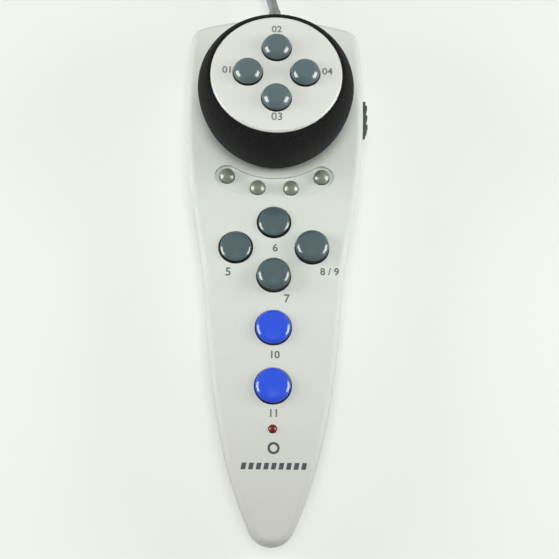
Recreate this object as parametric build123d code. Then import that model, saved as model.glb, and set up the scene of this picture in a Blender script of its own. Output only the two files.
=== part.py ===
from build123d import *
import os
from math import acos, asin, cos, degrees, pi, radians, sin, sqrt, tan

# One-handed racing controller: a long moulded case with a foam-tyred steering wheel on top.
# Millimetres. The origin is the middle of the case on the table, +Y runs to the wheel end, +Z is up.

# Case
case_length = 215.0
case_width = 72.4
case_height = 29.0
wall = 2.2
edge_round = 3.0
belly_round = 5.0
inner_chamfer = 1.5
corner_round = 7.0
end_bow = 100.0
end_narrowing = 3.2
widest_ahead = 7.0
tip_round = 9.0
tip_drop = 7.0
slope_start = 124.5
keel_end = 78.0
grip_start = 110.0
grip_rise = 6.0
upper_height = 14.0
lip_height = 1.5
lip_gap = 0.15

# Where the side arcs of the case meet: shares of the way from the wheel axis to the tip, and how much
# narrower the case is there than at its widest
joint_shares = (0.30, 0.506, 0.776)
joint_narrowings = (11.7, 21.2, 34.2)

# Steering wheel
wheel_to_end = 45.0
wheel_rise = 29.9
plate_radius = 25.0
plate_thick = 2.0
plate_edge = 0.6
tyre_lip = 1.3
tyre_lip_drop = 0.6
tyre_crown = 30.2
tyre_crown_drop = 10.0
tyre_foot = 24.6
drum_radius = 21.0
drum_wall = 2.4
drum_rim_wall = 1.2
drum_floor = 3.5
drum_flange = 23.4
drum_flange_thick = 1.4
shaft_radius = 6.0
wire_bore = 2.0
turn_limit = 60.0
fit = 0.05
running_gap = 0.2

# Steering bush and the boss that holds it
bush_wall = 2.0
bush_flange = 2.0
bush_flange_thick = 0.8
boss_wall = 2.5
boss_drop = 12.8

# Steering gears
gear_module = 1.0
sector_teeth = 40
sector_cut_teeth = 17
pinion_teeth = 20
pressure_angle = 20.0
backlash = 0.12
gear_thick = 3.5
shaft_past_gear = 1.7
gear_flat = 1.2
dog_radius = 14.5
dog_pin = 1.3
stop_pin = 1.5
anchor_radius = 18.6
spring_wire = 1.3
spring_high = 3.0
spring_above = 1.0
clip_thick = 0.8
clip_radius = 8.2
groove_depth = 1.1

# Angle sensor
sensor_radius = 8.0
sensor_height = 6.0
sensor_gap = 0.6
sensor_shaft = 3.0
sensor_roof = 1.0

# Buttons on the wheel
face_button_radius = 5.65
face_button_circle = 10.85
face_button_rim = 3.0
face_button_dome = 1.2
face_travel = 1.5

# Arc of four small buttons in their trough
arc_button_radius = 3.0
arc_circle = 34.4
arc_angles = (-33.0, -11.0, 11.0, 33.0)
arc_button_rim = 0.6
arc_button_dome = 1.7
arc_travel = 1.2
trough_width = 9.6
trough_depth = 1.5
trough_lip = 0.2

# Main buttons, placed behind the wheel axis
main_button_radius = 6.55
main_row_back = 59.3
main_spread = 14.7
far_button_back = 48.6
near_button_back = 70.9
low_rim = 1.2
low_dome = 1.1
low_travel = 1.2
tall_rim = 4.2
tall_dome = 1.3
tall_travel = 3.5

# Blue buttons and lamp
blue_button_radius = 6.85
blue_button_backs = (91.5, 114.0)
blue_rim = 2.0
blue_dome = 0.9
blue_travel = 1.5
lamp_radius = 1.6
lamp_back = 130.0
lamp_stand = 1.2
lamp_flange = 0.4
lamp_leg = 0.5
lamp_leg_spread = 1.0

# What every button shares
button_gap = 0.2
flange_thick = 1.2
flange_lip = 1.0
tab_width = 3.0
stem_width = 4.0
stem_clear = 0.2
rim_break = 0.12

# Boards and rubber sheets
board_thick = 1.6
board_drop = 9.2
board_inset = 1.2
board_front_back = 18.5
board_past_lamp = 4.5
sheet_thick = 1.0
sheet_dome = 1.0
sheet_inset = 1.2
face_board_drop = 8.7
chip_size = (14.0, 10.0, 2.2)
chip_y = -12.0
capacitor_radius = 3.0
capacitor_high = 5.5
capacitor_x = 13.0
header_size = (6.0, 14.0, 5.0)

# Screws
screw_radius = 1.25
screw_head = 2.5
screw_head_high = 1.8
screw_sink = 5.0
pilot_gap = 0.05
pilot_depth = 8.0
small_pilot = 6.0
case_boss = 3.6
head_wall = 1.0
screw_short = 1.0
case_screw_ahead = 29.5
case_screw_inset = 8.7
case_screw_back = 24.5
tip_screw_ahead = 11.0
small_screw = 1.0
small_head = 2.0
small_head_high = 1.3
board_boss = 2.6
board_screw_spots = ((45.5, 20.0), (125.5, 11.0))
post_radius = 2.4
post_circle = 15.9

# Side switch on the right wall
switch_ahead = 2.0
switch_drop = 7.2
switch_length = 14.3
switch_high = 6.4
switch_stands = 2.1
switch_ridges = 3
ridge_pitch = 4.4
ridge_high = 0.6
switch_travel = 2.0
switch_stem = 5.0
switch_stem_high = 2.4
switch_stem_deep = 3.0
switch_body_deep = 6.0
switch_body_length = 15.5
switch_body_high = 5.6
switch_body_gap = 0.5
rib_thick = 1.2

# Cord, its strain relief, hank, tie and plug
cord_radius = 2.1
relief_neck = 3.6
relief_collar = 4.7
relief_collar_thick = 1.6
relief_length = 11.0
relief_tip = 2.5
relief_notches = 3
hank_turns = 3
hank_pitch = 4.75
hank_run = 74.5
hank_inner = 12.7
hank_lift = 0.6
hank_sides = 6
hank_x = 19.0
hank_near_y = 173.5
tie_thick = 0.4
tie_width = 4.0
tie_gap = 0.15
plug_width = 36.0
plug_length = 26.0
plug_neck = 9.0
plug_nose = 11.0
plug_contacts = 9
plug_round = 3.0
plug_step = 2.0
contact_hole = 1.6
contact_deep = 9.0
contact_thick = 0.4

# Places worked out from the sizes above
far_y = case_length / 2
tip_y = -far_y
wheel_y = far_y - wheel_to_end
handle_length = case_length - wheel_to_end
ceiling_z = case_height - wall
parting_z = case_height - upper_height
face_z = case_height + wheel_rise
plate_low = face_z - plate_thick
hub_low = case_height + bush_flange_thick + running_gap
drum_floor_z = hub_low + drum_floor
tyre_low = hub_low + drum_flange_thick + fit
board_bottom_z = ceiling_z - board_drop
board_top_z = board_bottom_z + board_thick
boss_bottom_z = ceiling_z - boss_drop
gear_bottom_z = board_bottom_z - sensor_height - sensor_gap - gear_thick
shaft_end_z = gear_bottom_z - shaft_past_gear
switch_z = ceiling_z - switch_drop
pad_top_z = board_top_z + sheet_thick + sheet_dome
trough_z = case_height - trough_depth
trough_under_z = trough_z - wall
sensor_y = wheel_y - gear_module * (sector_teeth + pinion_teeth) / 2
bush_radius = shaft_radius + fit + bush_wall
boss_radius = bush_radius + fit + boss_wall
face_board_z = plate_low - face_board_drop
face_pad_z = face_board_z + board_thick + sheet_thick + sheet_dome
relief_z = parting_z
cord_start_y = far_y + relief_collar_thick + relief_length
hank_low_z = hank_lift + cord_radius
hank_high_z = hank_low_z + hank_pitch
hank_outer = hank_inner + hank_turns * hank_pitch
plug_near_y = hank_near_y + hank_run + hank_outer + 2 * cord_radius
plug_face_y = plug_near_y + plug_neck + plug_length + plug_nose
far_out = 10.0


def top_z(y):
    """Height of the case's top at a place along its length."""
    start = wheel_y - slope_start
    if y >= start:
        return case_height
    run = start - tip_y
    bow = (run**2 + tip_drop**2) / (2 * tip_drop)
    return case_height - bow + sqrt(bow**2 - (start - y) ** 2)


def underside_z(y):
    """Height of the case's underside where it is level: under the wheel end or under the grip."""
    return grip_rise if y < wheel_y - grip_start else 0.0


def disc(radius, low, high, x=0.0, y=0.0):
    """Upright cylinder between two heights."""
    return Pos(x, y, low) * extrude(Circle(radius), high - low)


def block(width, length, low, high, x=0.0, y=0.0):
    """Upright box between two heights."""
    return Pos(x, y, low) * extrude(Rectangle(width, length), high - low)


def turned(points, x=0.0, y=0.0):
    """Solid turned about an upright axis from (radius, height) points."""
    profile = make_face(Polyline(*points, close=True))
    return Pos(x, y, 0) * revolve(Plane.XZ * profile, Axis.Z)


def around(angle_deg, radius):
    """Point on a circle about the wheel axis, the angle counted from the handle's side."""
    angle = radians(angle_deg - 90)
    return radius * cos(angle), wheel_y + radius * sin(angle)


def nose_point(start, along, radius):
    """Where an arc that leaves a point in a direction runs smoothly into the circle round the tip."""
    middle = Vector(0, tip_y + tip_round)
    inwards = Vector(along.Y, -along.X)
    reach = start - middle
    bow = (radius**2 - reach.dot(reach)) / (2 * (inwards.dot(reach) + radius))
    centre = start + inwards * bow
    return middle + (middle - centre).normalized() * (radius if bow > 0 else -radius)


def case_outline(inset):
    """Plan of the case, drawn in by inset on every side."""
    half_end = (case_width - end_narrowing) / 2 - inset
    bow = end_bow - inset
    corner = (half_end, far_y - end_bow + sqrt(bow**2 - half_end**2))
    widest = (case_width / 2 - inset, wheel_y + widest_ahead)
    joints = [((case_width - narrowing) / 2 - inset, wheel_y - share * handle_length)
              for share, narrowing in zip(joint_shares, joint_narrowings)]
    right = [TangentArc(widest, corner, tangent=(0, 1))]
    here, along = widest, (0, -1)
    for joint in joints:
        right.append(TangentArc(here, joint, tangent=along))
        here, along = joint, right[-1] % 1
    nose = nose_point(Vector(*here), along, tip_round - inset)
    right.append(TangentArc(here, nose, tangent=along))
    left = [mirror(arc, Plane.YZ) for arc in right]
    tip = ThreePointArc(nose, (0, tip_y + inset), (-nose.X, nose.Y))
    end = ThreePointArc(corner, (0, far_y - inset), (-corner[0], corner[1]))
    return make_face([*right, tip, *left, end])


def case_prism(inset, low, high):
    """The plan drawn up between two heights, its two far corners rounded."""
    prism = Pos(0, 0, low) * extrude(case_outline(inset), high - low)
    return fillet(prism.edges().filter_by(Axis.Z).sort_by(Axis.Y)[-2:], corner_round - inset)


def case_side(inset):
    """Side view of the case: flat keel, step up to the grip, and the slope down to the tip."""
    front = far_y + far_out
    back = tip_y
    low = inset
    keel = wheel_y - keel_end
    grip = wheel_y - grip_start
    slope = wheel_y - slope_start
    middle = ((keel + grip) / 2, low + grip_rise / 2)
    floor = Line((front, low), (keel, low))
    step_up = TangentArc((keel, low), middle, tangent=(-1, 0))
    step_off = TangentArc((grip, low + grip_rise), middle, tangent=(1, 0))
    under = Line((grip, low + grip_rise), (back - far_out, low + grip_rise))
    tip_top = (back, case_height - tip_drop - inset)
    fall = TangentArc((slope, case_height - inset), tip_top, tangent=(-1, 0))
    level = Line(tip_top, (back - far_out, tip_top[1]))
    rear = Line((back - far_out, low + grip_rise), (back - far_out, tip_top[1]))
    roof = Line((slope, case_height - inset), (front, case_height - inset))
    nose = Line((front, case_height - inset), (front, low))
    return make_face([floor, step_up, step_off, under, rear, level, fall, roof, nose])


def case_rims(solid):
    """Edges round the top and edges round the underside of a case block."""
    rims = [edge for edge in solid.edges() if abs((edge % 0.5).Z) < 0.7 and abs((edge % 0.5).X) < 0.999
            or edge.geom_type != GeomType.LINE and abs(edge.center().X) < 0.01]
    upper = [edge for edge in rims if edge.center().Z > parting_z]
    return upper, [edge for edge in rims if edge.center().Z < parting_z]


def case_block(inset):
    """The whole case as one solid, drawn in by inset, with its edges still sharp."""
    side = extrude(Plane.YZ * case_side(inset), case_width, both=True)
    return case_prism(inset, 0, case_height) & side


def case_shell():
    """The case as one closed shell: rounded outside, and chamfered inside along its belly."""
    solid = case_block(0.0)
    upper, lower = case_rims(solid)
    solid = fillet(upper, edge_round)
    kept = [edge for edge in solid.edges()
            if any((edge.center() - old.center()).length < 0.01 for old in lower)]
    solid = fillet(kept, belly_round)
    room = case_block(wall)
    return solid - chamfer(case_rims(room)[1], inner_chamfer)


def trough(width, low, high):
    """Arc-shaped slot about the wheel axis, as wide as given, through the four small buttons."""
    sweep_deg = arc_angles[-1] - arc_angles[0]
    line = CenterArc((0, 0), arc_circle, arc_angles[0] - 90, sweep_deg)
    return Pos(0, wheel_y, low) * extrude(SlotArc(line, width), high - low)


def trough_room():
    """Room of the trough: deepest on the wheel's side, its floor rises to a low lip on the near side."""
    deep_y = around(arc_angles[-1], arc_circle)[1] + trough_width / 2
    lip_y = wheel_y - arc_circle - trough_width / 2
    slope = (trough_depth - trough_lip) / (deep_y - lip_y)
    floor = Plane(origin=(0, deep_y, trough_z), z_dir=(0, slope, 1))
    room = trough(trough_width, trough_z - trough_depth, 2 * case_height)
    return split(room, bisect_by=floor, keep=Keep.TOP)


def case_screw_spots():
    """Places of the five case screws: two pairs at the wheel end and one in the grip."""
    pairs = [(side * (case_width / 2 - case_screw_inset), wheel_y + ahead)
             for ahead in (case_screw_ahead, -case_screw_back) for side in (-1, 1)]
    return [*pairs, (0, tip_y + tip_screw_ahead)]


def board_screw_places():
    """Places of the screws that hold the main board."""
    return [(side * spread, wheel_y - back) for back, spread in board_screw_spots for side in (-1, 1)]


def top_buttons():
    """Every button on the case: name, place, radius, seat height, rim height, dome, travel."""
    rows = []
    for number, angle in enumerate(arc_angles, 1):
        rows.append((f"arc_button_{number}", around(angle, arc_circle), arc_button_radius, trough_under_z,
                     case_height + arc_button_rim, arc_button_dome, arc_travel))
    low = (main_button_radius, ceiling_z, case_height + low_rim, low_dome, low_travel)
    tall = (main_button_radius, ceiling_z, case_height + tall_rim, tall_dome, tall_travel)
    rows.append(("main_button_far", (0, wheel_y - far_button_back), *low))
    rows.append(("main_button_left", (-main_spread, wheel_y - main_row_back), *low))
    rows.append(("main_button_right", (main_spread, wheel_y - main_row_back), *tall))
    rows.append(("main_button_near", (0, wheel_y - near_button_back), *tall))
    for name, back in zip(("start_button", "set_button"), blue_button_backs):
        rows.append((name, (0, wheel_y - back), blue_button_radius, ceiling_z, case_height + blue_rim,
                     blue_dome, blue_travel))
    return rows


def button(place, radius, seat_z, rim_z, dome, travel, pad_z):
    """Domed cap with a broken rim, two key tabs under the wall and a square stem over its contact."""
    x, y = place
    low = seat_z - fit - flange_thick
    top = (0, rim_z + dome)
    edge = rim_break * radius
    crown = TangentArc(top, (radius - edge, rim_z), tangent=(1, 0))
    sides = Polyline((radius - edge, rim_z), (radius, rim_z - edge), (radius, low), (0, low), top)
    cap = Pos(x, y, 0) * revolve(Plane.XZ * make_face([crown, sides]), Axis.Z)
    tabs = block(2 * (radius + flange_lip), tab_width, low, seat_z - fit, x, y)
    stem = block(stem_width, stem_width, pad_z + travel + stem_clear, low, x, y)
    return cap + tabs + stem


def stop_angle():
    """Angle from the dog to a stop at rest, so that they meet just past the turn limit."""
    touch = 2 * degrees(asin((dog_pin + stop_pin) / (2 * dog_radius)))
    return turn_limit + touch + 0.5


def switch_middle():
    """Place of the side switch along the case."""
    return wheel_y + switch_ahead


def relief_hole():
    """Hole for the strain relief's neck through the end wall, on the parting plane."""
    hole = Cylinder(relief_neck + fit, 4 * wall, rotation=(90, 0, 0))
    return Pos(0, far_y - wall, relief_z) * hole


def top_case(shell):
    """Upper half of the case with its bosses, the steering boss, the trough and every button hole."""
    solid = shell & block(2 * case_width, 2 * case_length, parting_z, 2 * case_height)
    solid -= case_prism(wall / 2 - lip_gap, parting_z, parting_z + lip_height + lip_gap)
    root_z = ceiling_z + wall / 2
    solid += disc(boss_radius, boss_bottom_z, root_z, 0, wheel_y)
    solid += trough(trough_width + 2 * wall, trough_under_z, root_z)
    solid -= trough_room()
    for angle, radius, pin in ((180, anchor_radius, dog_pin), (180 - stop_angle(), dog_radius, stop_pin),
                               (180 + stop_angle(), dog_radius, stop_pin)):
        solid += disc(pin, boss_bottom_z, root_z, *around(angle, radius))
    for x, y in case_screw_spots():
        solid += disc(case_boss, parting_z, top_z(y) - wall / 2, x, y)
        solid -= disc(screw_radius + pilot_gap, parting_z, parting_z + pilot_depth, x, y)
    for x, y in board_screw_places():
        solid += disc(board_boss, board_top_z, root_z, x, y)
        solid -= disc(small_screw + pilot_gap, board_top_z, board_top_z + small_pilot, x, y)
    for side in (-1, 1):
        rib_y = switch_middle() + side * (switch_body_length / 2 + rib_thick / 2 + running_gap)
        solid += block(switch_body_deep + wall / 2, rib_thick, parting_z + lip_height + running_gap, root_z,
                       case_width / 2 - wall / 2 - switch_body_deep / 2, rib_y)
    solid -= disc(bush_radius + fit, 0, 2 * case_height, 0, wheel_y)
    for _, (x, y), radius, *_ in top_buttons():
        solid -= disc(radius + button_gap, trough_under_z - 1, 2 * case_height, x, y)
    solid -= disc(lamp_radius + fit, parting_z, 2 * case_height, 0, wheel_y - lamp_back)
    slot = switch_stem + 2 * (switch_travel + running_gap)
    solid -= block(4 * wall, slot, switch_z - switch_stem_high / 2 - running_gap,
                   switch_z + switch_stem_high / 2 + running_gap, case_width / 2, switch_middle())
    return solid - relief_hole()


def bottom_case(shell):
    """Lower half of the case with its tongue and the five screw bosses."""
    solid = shell & block(2 * case_width, 2 * case_length, -1, parting_z)
    tongue = case_prism(wall / 2, parting_z - wall / 2, parting_z + lip_height)
    solid += tongue - case_prism(wall, parting_z - wall, parting_z + wall)
    for x, y in case_screw_spots():
        low = underside_z(y)
        solid += disc(case_boss + head_wall, low + wall / 2, parting_z, x, y)
        solid -= disc(screw_head + running_gap, low - 1, low + screw_sink, x, y)
        solid -= disc(screw_radius + running_gap, low, parting_z, x, y)
    return solid - relief_hole()


def screw(shank, head, head_high, seat_z, length, x, y):
    """Pan-headed screw that is driven upwards: its head lies under seat_z."""
    return turned([(0, seat_z - head_high), (head, seat_z - head_high), (head, seat_z), (shank, seat_z),
                   (shank, seat_z + length), (0, seat_z + length)], x, y)


def case_screws():
    """The five case screws."""
    screws = []
    for x, y in case_screw_spots():
        seat = underside_z(y) + screw_sink
        length = parting_z + pilot_depth - screw_short - seat
        screws.append(screw(screw_radius, screw_head, screw_head_high, seat, length, x, y))
    return Compound(screws)


def board_screws():
    """The screws that hold the main board up to its bosses."""
    length = board_thick + small_pilot - screw_short
    return Compound([screw(small_screw, small_head, small_head_high, board_bottom_z, length, x, y)
                     for x, y in board_screw_places()])


def steering_bush():
    """Flanged sleeve pressed into the steering boss. The wheel turns in it and on its flange."""
    flange_top = case_height + bush_flange_thick
    bore = shaft_radius + fit
    flange = bush_radius + bush_flange
    return turned([(bore, boss_bottom_z), (bush_radius, boss_bottom_z), (bush_radius, case_height),
                   (flange, case_height), (flange, flange_top), (bore, flange_top)], 0, wheel_y)


def inner_plan(inset, tail_y, front_y):
    """Plan of a board or sheet inside the case, notched round the bosses of the case screws."""
    middle = (tail_y + front_y) / 2
    plan = case_outline(wall + inset) & (Pos(0, middle) * Rectangle(case_width, front_y - tail_y))
    for x, y in case_screw_spots():
        plan -= Pos(x, y) * Circle(case_boss + inset)
    return plan


def main_board():
    """Printed board under every button of the case."""
    tail_y = wheel_y - lamp_back - board_past_lamp
    plan = inner_plan(board_inset, tail_y, wheel_y - board_front_back)
    board = Pos(0, 0, board_bottom_z) * extrude(plan, board_thick)
    for x, y in board_screw_places():
        board -= disc(small_screw + running_gap, 0, case_height, x, y)
    return board


def board_components():
    """Controller chip, capacitor and the cord's connector under the main board."""
    chip = block(chip_size[0], chip_size[1], board_bottom_z - chip_size[2], board_bottom_z, 0, chip_y)
    capacitor = disc(capacitor_radius, board_bottom_z - capacitor_high, board_bottom_z, capacitor_x, chip_y)
    header = block(header_size[0], header_size[1], board_bottom_z - header_size[2], board_bottom_z,
                   -capacitor_x, chip_y)
    return Compound([chip, capacitor, header])


def button_sheet():
    """Rubber sheet on the main board with one contact dome under each button."""
    backs = [wheel_y - back for back in (blue_button_backs[-1] + blue_button_radius + sheet_inset,
                                         board_front_back + sheet_inset)]
    sheet = Pos(0, 0, board_top_z) * extrude(inner_plan(board_inset + sheet_inset, *backs), sheet_thick)
    for x, y in board_screw_places():
        sheet -= disc(board_boss + running_gap, 0, case_height, x, y)
    for _, (x, y), *_ in top_buttons():
        sheet += disc(stem_width / 2, board_top_z + sheet_thick, pad_top_z, x, y)
    return sheet


def status_lamp():
    """Round lamp with its dome above the case and its two legs on the board."""
    y = wheel_y - lamp_back
    top = top_z(y) + lamp_stand
    flange_low = top_z(y - lamp_radius - lamp_flange) - wall - flange_thick - running_gap
    ball = Pos(0, y, top - lamp_radius) * Sphere(lamp_radius)
    lamp = disc(lamp_radius, flange_low, top - lamp_radius, 0, y) + ball
    lamp += disc(lamp_radius + lamp_flange, flange_low, flange_low + flange_thick - fit, 0, y)
    for side in (-1, 1):
        lamp += block(lamp_leg, lamp_leg, board_top_z, flange_low, side * lamp_leg_spread, y)
    return lamp


def angle_sensor():
    """Rotary sensor hung under the board, open below for the pinion's shaft."""
    low = board_bottom_z - sensor_height
    body = disc(sensor_radius, low, board_bottom_z, 0, sensor_y)
    return body - disc(sensor_shaft + fit, low, board_bottom_z - sensor_roof, 0, sensor_y)


def sensor_spindle():
    """Shaft of the angle sensor, which carries the pinion."""
    top = board_bottom_z - sensor_roof - running_gap
    return disc(sensor_shaft, gear_bottom_z - running_gap, top, 0, sensor_y)


def flank(teeth):
    """Radius and half angle of a tooth at its root, its pitch circle and its tip."""
    pitch = gear_module * teeth / 2
    base = pitch * cos(radians(pressure_angle))
    half = (pi * gear_module / 2 - backlash) / (2 * pitch)
    at_pitch = tan(radians(pressure_angle)) - radians(pressure_angle)

    def half_at(radius):
        angle = acos(min(1.0, base / radius))
        return half + at_pitch - (tan(angle) - angle)

    root = pitch - 1.25 * gear_module
    tip = pitch + gear_module
    return [(root, half_at(max(root, base))), (pitch, half), (tip, half_at(tip))]


def toothed(teeth, drawn, middle_deg):
    """Points of so many teeth in a row, with a tooth at the middle angle if the count is odd."""
    points = []
    for index in range(drawn):
        angle = radians(middle_deg + (index - (drawn - 1) / 2) * 360 / teeth)
        rising = [(radius, angle - half) for radius, half in flank(teeth)]
        falling = [(radius, angle + half) for radius, half in reversed(flank(teeth))]
        points += [(radius * cos(turn), radius * sin(turn)) for radius, turn in rising + falling]
    return points


def sector_gear():
    """Toothed sector on the wheel's shaft, with a collar up to the boss and the dog of the spring."""
    teeth = Pos(0, wheel_y, gear_bottom_z) * extrude(
        make_face(Polyline((0, 0), *toothed(sector_teeth, sector_cut_teeth, -90), close=True)), gear_thick)
    gear_top = gear_bottom_z + gear_thick
    gear = teeth + disc(shaft_radius + boss_wall, gear_bottom_z, boss_bottom_z - running_gap, 0, wheel_y)
    arm = dog_radius + 2 * dog_pin
    gear += block(4 * dog_pin, arm, gear_bottom_z, gear_top, 0, wheel_y + arm / 2)
    gear += disc(dog_pin, gear_top, spring_low_z() + spring_high, 0, wheel_y + dog_radius)
    return gear - shaft_section(shaft_radius + fit, gear_bottom_z - 1, boss_bottom_z)


def shaft_section(radius, low, high):
    """Shaft's end with the flat that drives the sector."""
    flat = block(2 * radius, 2 * radius, low, high, 2 * radius - gear_flat, wheel_y)
    return disc(radius, low, high, 0, wheel_y) - flat


def spring_low_z():
    """Underside of the centring spring, above the boss's lower edge."""
    return boss_bottom_z + spring_above


def centring_spring():
    """Torsion spring round the steering boss. Its two legs hold the dog and the anchor between them."""
    low = spring_low_z()
    inner = boss_radius + running_gap
    coil = disc(inner + spring_wire, low, low + spring_high, 0, wheel_y)
    coil -= disc(inner, low, low + spring_high, 0, wheel_y)
    length = anchor_radius + 2 * dog_pin - inner
    for side in (-1, 1):
        leg_low = low if side < 0 else low + spring_high - spring_wire
        coil += block(spring_wire, length, leg_low, leg_low + spring_wire,
                      side * (dog_pin + spring_wire / 2 + fit), wheel_y + inner + length / 2)
    return coil


def pinion():
    """Pinion of the angle sensor, in mesh with the sector."""
    gap_turn = 90 + 180 / pinion_teeth
    outline = toothed(pinion_teeth, pinion_teeth, gap_turn + 180 / pinion_teeth)
    profile = make_face(Polyline(*outline, close=True))
    gear = Pos(0, sensor_y, gear_bottom_z) * extrude(profile, gear_thick)
    return gear - disc(sensor_shaft + fit / 5, 0, case_height, 0, sensor_y)


def retaining_clip():
    """Open ring in the shaft's groove, under the sector."""
    low = gear_bottom_z - fit - clip_thick
    ring = disc(clip_radius, low, low + clip_thick, 0, wheel_y)
    ring -= disc(shaft_radius - groove_depth + fit, low, low + clip_thick, 0, wheel_y)
    mouth = 2 * (shaft_radius - groove_depth) - 1
    return ring - block(clip_radius, mouth, low, low + clip_thick, -clip_radius / 2, wheel_y)


def post_places():
    """Places of the four posts under the face plate, between the buttons."""
    return [around(angle, post_circle) for angle in (45, 135, 225, 315)]


def wheel_hub():
    """Drum of the wheel with its floor, a ledge for the face board and the shaft below."""
    board_seat = drum_radius - drum_wall
    solid = turned([(wire_bore, shaft_end_z), (shaft_radius, shaft_end_z), (shaft_radius, hub_low),
                    (drum_flange, hub_low), (drum_flange, hub_low + drum_flange_thick),
                    (drum_radius, hub_low + drum_flange_thick), (drum_radius, plate_low),
                    (drum_radius - drum_rim_wall, plate_low), (drum_radius - drum_rim_wall, face_board_z),
                    (board_seat, face_board_z), (board_seat, drum_floor_z), (wire_bore, drum_floor_z)],
                   0, wheel_y)
    flat_top = boss_bottom_z - running_gap
    solid -= (disc(shaft_radius + 1, shaft_end_z, flat_top, 0, wheel_y)
              - shaft_section(shaft_radius, 0, flat_top))
    groove_low = gear_bottom_z - 2 * fit - clip_thick
    solid -= (disc(shaft_radius + 1, groove_low, gear_bottom_z, 0, wheel_y)
              - disc(shaft_radius - groove_depth, groove_low, gear_bottom_z, 0, wheel_y))
    for x, y in post_places():
        solid -= disc(small_head + running_gap, hub_low, hub_low + small_head_high + running_gap, x, y)
        solid -= disc(small_screw + running_gap, hub_low, drum_floor_z, x, y)
    return solid


def wheel_tyre():
    """Foam tyre: two arcs from the lip round the face plate over the crown to the foot."""
    lip = (plate_radius + tyre_lip, face_z - tyre_lip_drop)
    crown = (tyre_crown, face_z - tyre_crown_drop)
    foot = (tyre_foot, tyre_low)
    seat = plate_radius + running_gap
    upper = TangentArc(crown, lip, tangent=(0, 1))
    lower = TangentArc(crown, foot, tangent=(0, -1))
    inner = Polyline(foot, (drum_radius + fit, tyre_low), (drum_radius + fit, plate_low - fit),
                     (seat, plate_low - fit), (seat, lip[1]), lip)
    return Pos(0, wheel_y, 0) * revolve(Plane.XZ * make_face([upper, lower, inner]), Axis.Z)


def face_plate():
    """Round face of the wheel with four button holes and four posts down to the drum's floor."""
    plate = disc(plate_radius, plate_low, face_z, 0, wheel_y)
    plate = chamfer(plate.edges().group_by(Axis.Z)[-1], plate_edge)
    for _, (x, y) in face_places():
        plate -= disc(face_button_radius + button_gap, plate_low - 1, face_z + 1, x, y)
    for x, y in post_places():
        plate += disc(post_radius, drum_floor_z, plate_low, x, y)
        plate -= disc(small_screw + pilot_gap, drum_floor_z, drum_floor_z + small_pilot, x, y)
    return plate


def face_screws():
    """Screws through the drum's floor into the posts of the face plate."""
    seat = hub_low + small_head_high + running_gap
    length = drum_floor_z + small_pilot - screw_short - seat
    return Compound([screw(small_screw, small_head, small_head_high, seat, length, x, y)
                     for x, y in post_places()])


def face_places():
    """Names and places of the four buttons on the wheel."""
    names = ("face_button_near", "face_button_right", "face_button_far", "face_button_left")
    return [(name, around(90 * quarter, face_button_circle)) for quarter, name in enumerate(names)]


def face_board():
    """Round board in the drum, on its ledge."""
    radius = drum_radius - drum_rim_wall - running_gap
    board = disc(radius, face_board_z, face_board_z + board_thick, 0, wheel_y)
    for x, y in post_places():
        board -= disc(post_radius + running_gap, face_board_z - 1, face_pad_z, x, y)
    return board


def face_sheet():
    """Rubber sheet on the round board with a dome under each button."""
    low = face_board_z + board_thick
    sheet = disc(post_circle + post_radius, low, low + sheet_thick, 0, wheel_y)
    for x, y in post_places():
        sheet -= disc(post_radius + running_gap, low - 1, face_pad_z, x, y)
    for _, (x, y) in face_places():
        sheet += disc(stem_width / 2, low + sheet_thick, face_pad_z, x, y)
    return sheet


def wheel_lead():
    """Lead from the round board down through the hollow shaft."""
    return disc(wire_bore - running_gap, shaft_end_z, face_board_z, 0, wheel_y)


def switch_knob():
    """Ridged slider outside the right wall, with its stem through the slot."""
    outside = case_width / 2 + fit
    tip = case_width / 2 + switch_stands
    inside = case_width / 2 - wall - switch_stem_deep
    y = switch_middle()
    low = switch_z - switch_high / 2
    knob = block(tip - ridge_high - outside, switch_length, low, low + switch_high,
                 (tip - ridge_high + outside) / 2, y)
    for index in range(switch_ridges):
        ridge_y = y + (index - (switch_ridges - 1) / 2) * ridge_pitch
        knob += block(tip - outside, ridge_high * 3, low, low + switch_high, (tip + outside) / 2, ridge_y)
    stem_low = switch_z - switch_stem_high / 2
    return knob + block(outside + fit - inside, switch_stem, stem_low, stem_low + switch_stem_high,
                        (outside + fit + inside) / 2, y)


def switch_body():
    """Housing of the side switch against the inside of the wall, open where the stem slides."""
    face = case_width / 2 - wall - switch_body_gap
    low = switch_z - switch_body_high / 2
    y = switch_middle()
    body = block(switch_body_deep, switch_body_length, low, low + switch_body_high,
                 face - switch_body_deep / 2, y)
    room = switch_stem_high / 2 + running_gap
    return body - block(2 * (switch_stem_deep + running_gap), switch_stem + 2 * (switch_travel + running_gap),
                        switch_z - room, switch_z + room, face, y)


def strain_relief():
    """Tapered sleeve at the end wall: a flange each side of the wall and notches along its tail."""
    inner = -wall - running_gap
    collar = relief_collar_thick
    end = cord_start_y - far_y
    sleeve = turned([(0, inner - collar), (relief_collar, inner - collar), (relief_collar, inner),
                     (relief_neck, inner), (relief_neck, fit), (relief_collar, fit), (relief_collar, collar),
                     (relief_neck + fit, collar), (relief_tip, end), (0, end)])
    pitch = relief_length / (relief_notches + 1)
    for index in range(relief_notches):
        along = collar + (index + 1) * pitch
        for side in (-1, 1):
            notch = Box(2 * relief_collar, relief_collar, pitch / 3)
            turn = 90 * (index % 2)
            sleeve -= Rot(0, 0, turn) * Pos(0, side * (cord_radius + relief_collar / 2), along) * notch
    return Pos(0, far_y, relief_z) * Rot(-90, 0, 0) * sleeve


def cord_route():
    """Points of the free cord, from the strain relief down to the table and into the hank."""
    hank_side = hank_x - hank_outer
    return [(0, cord_start_y, relief_z), (0, 132.0, relief_z), (-3.6, 144.5, 10.0),
            (hank_side, 158.5, hank_low_z), (hank_side, hank_near_y, hank_low_z)]


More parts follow.
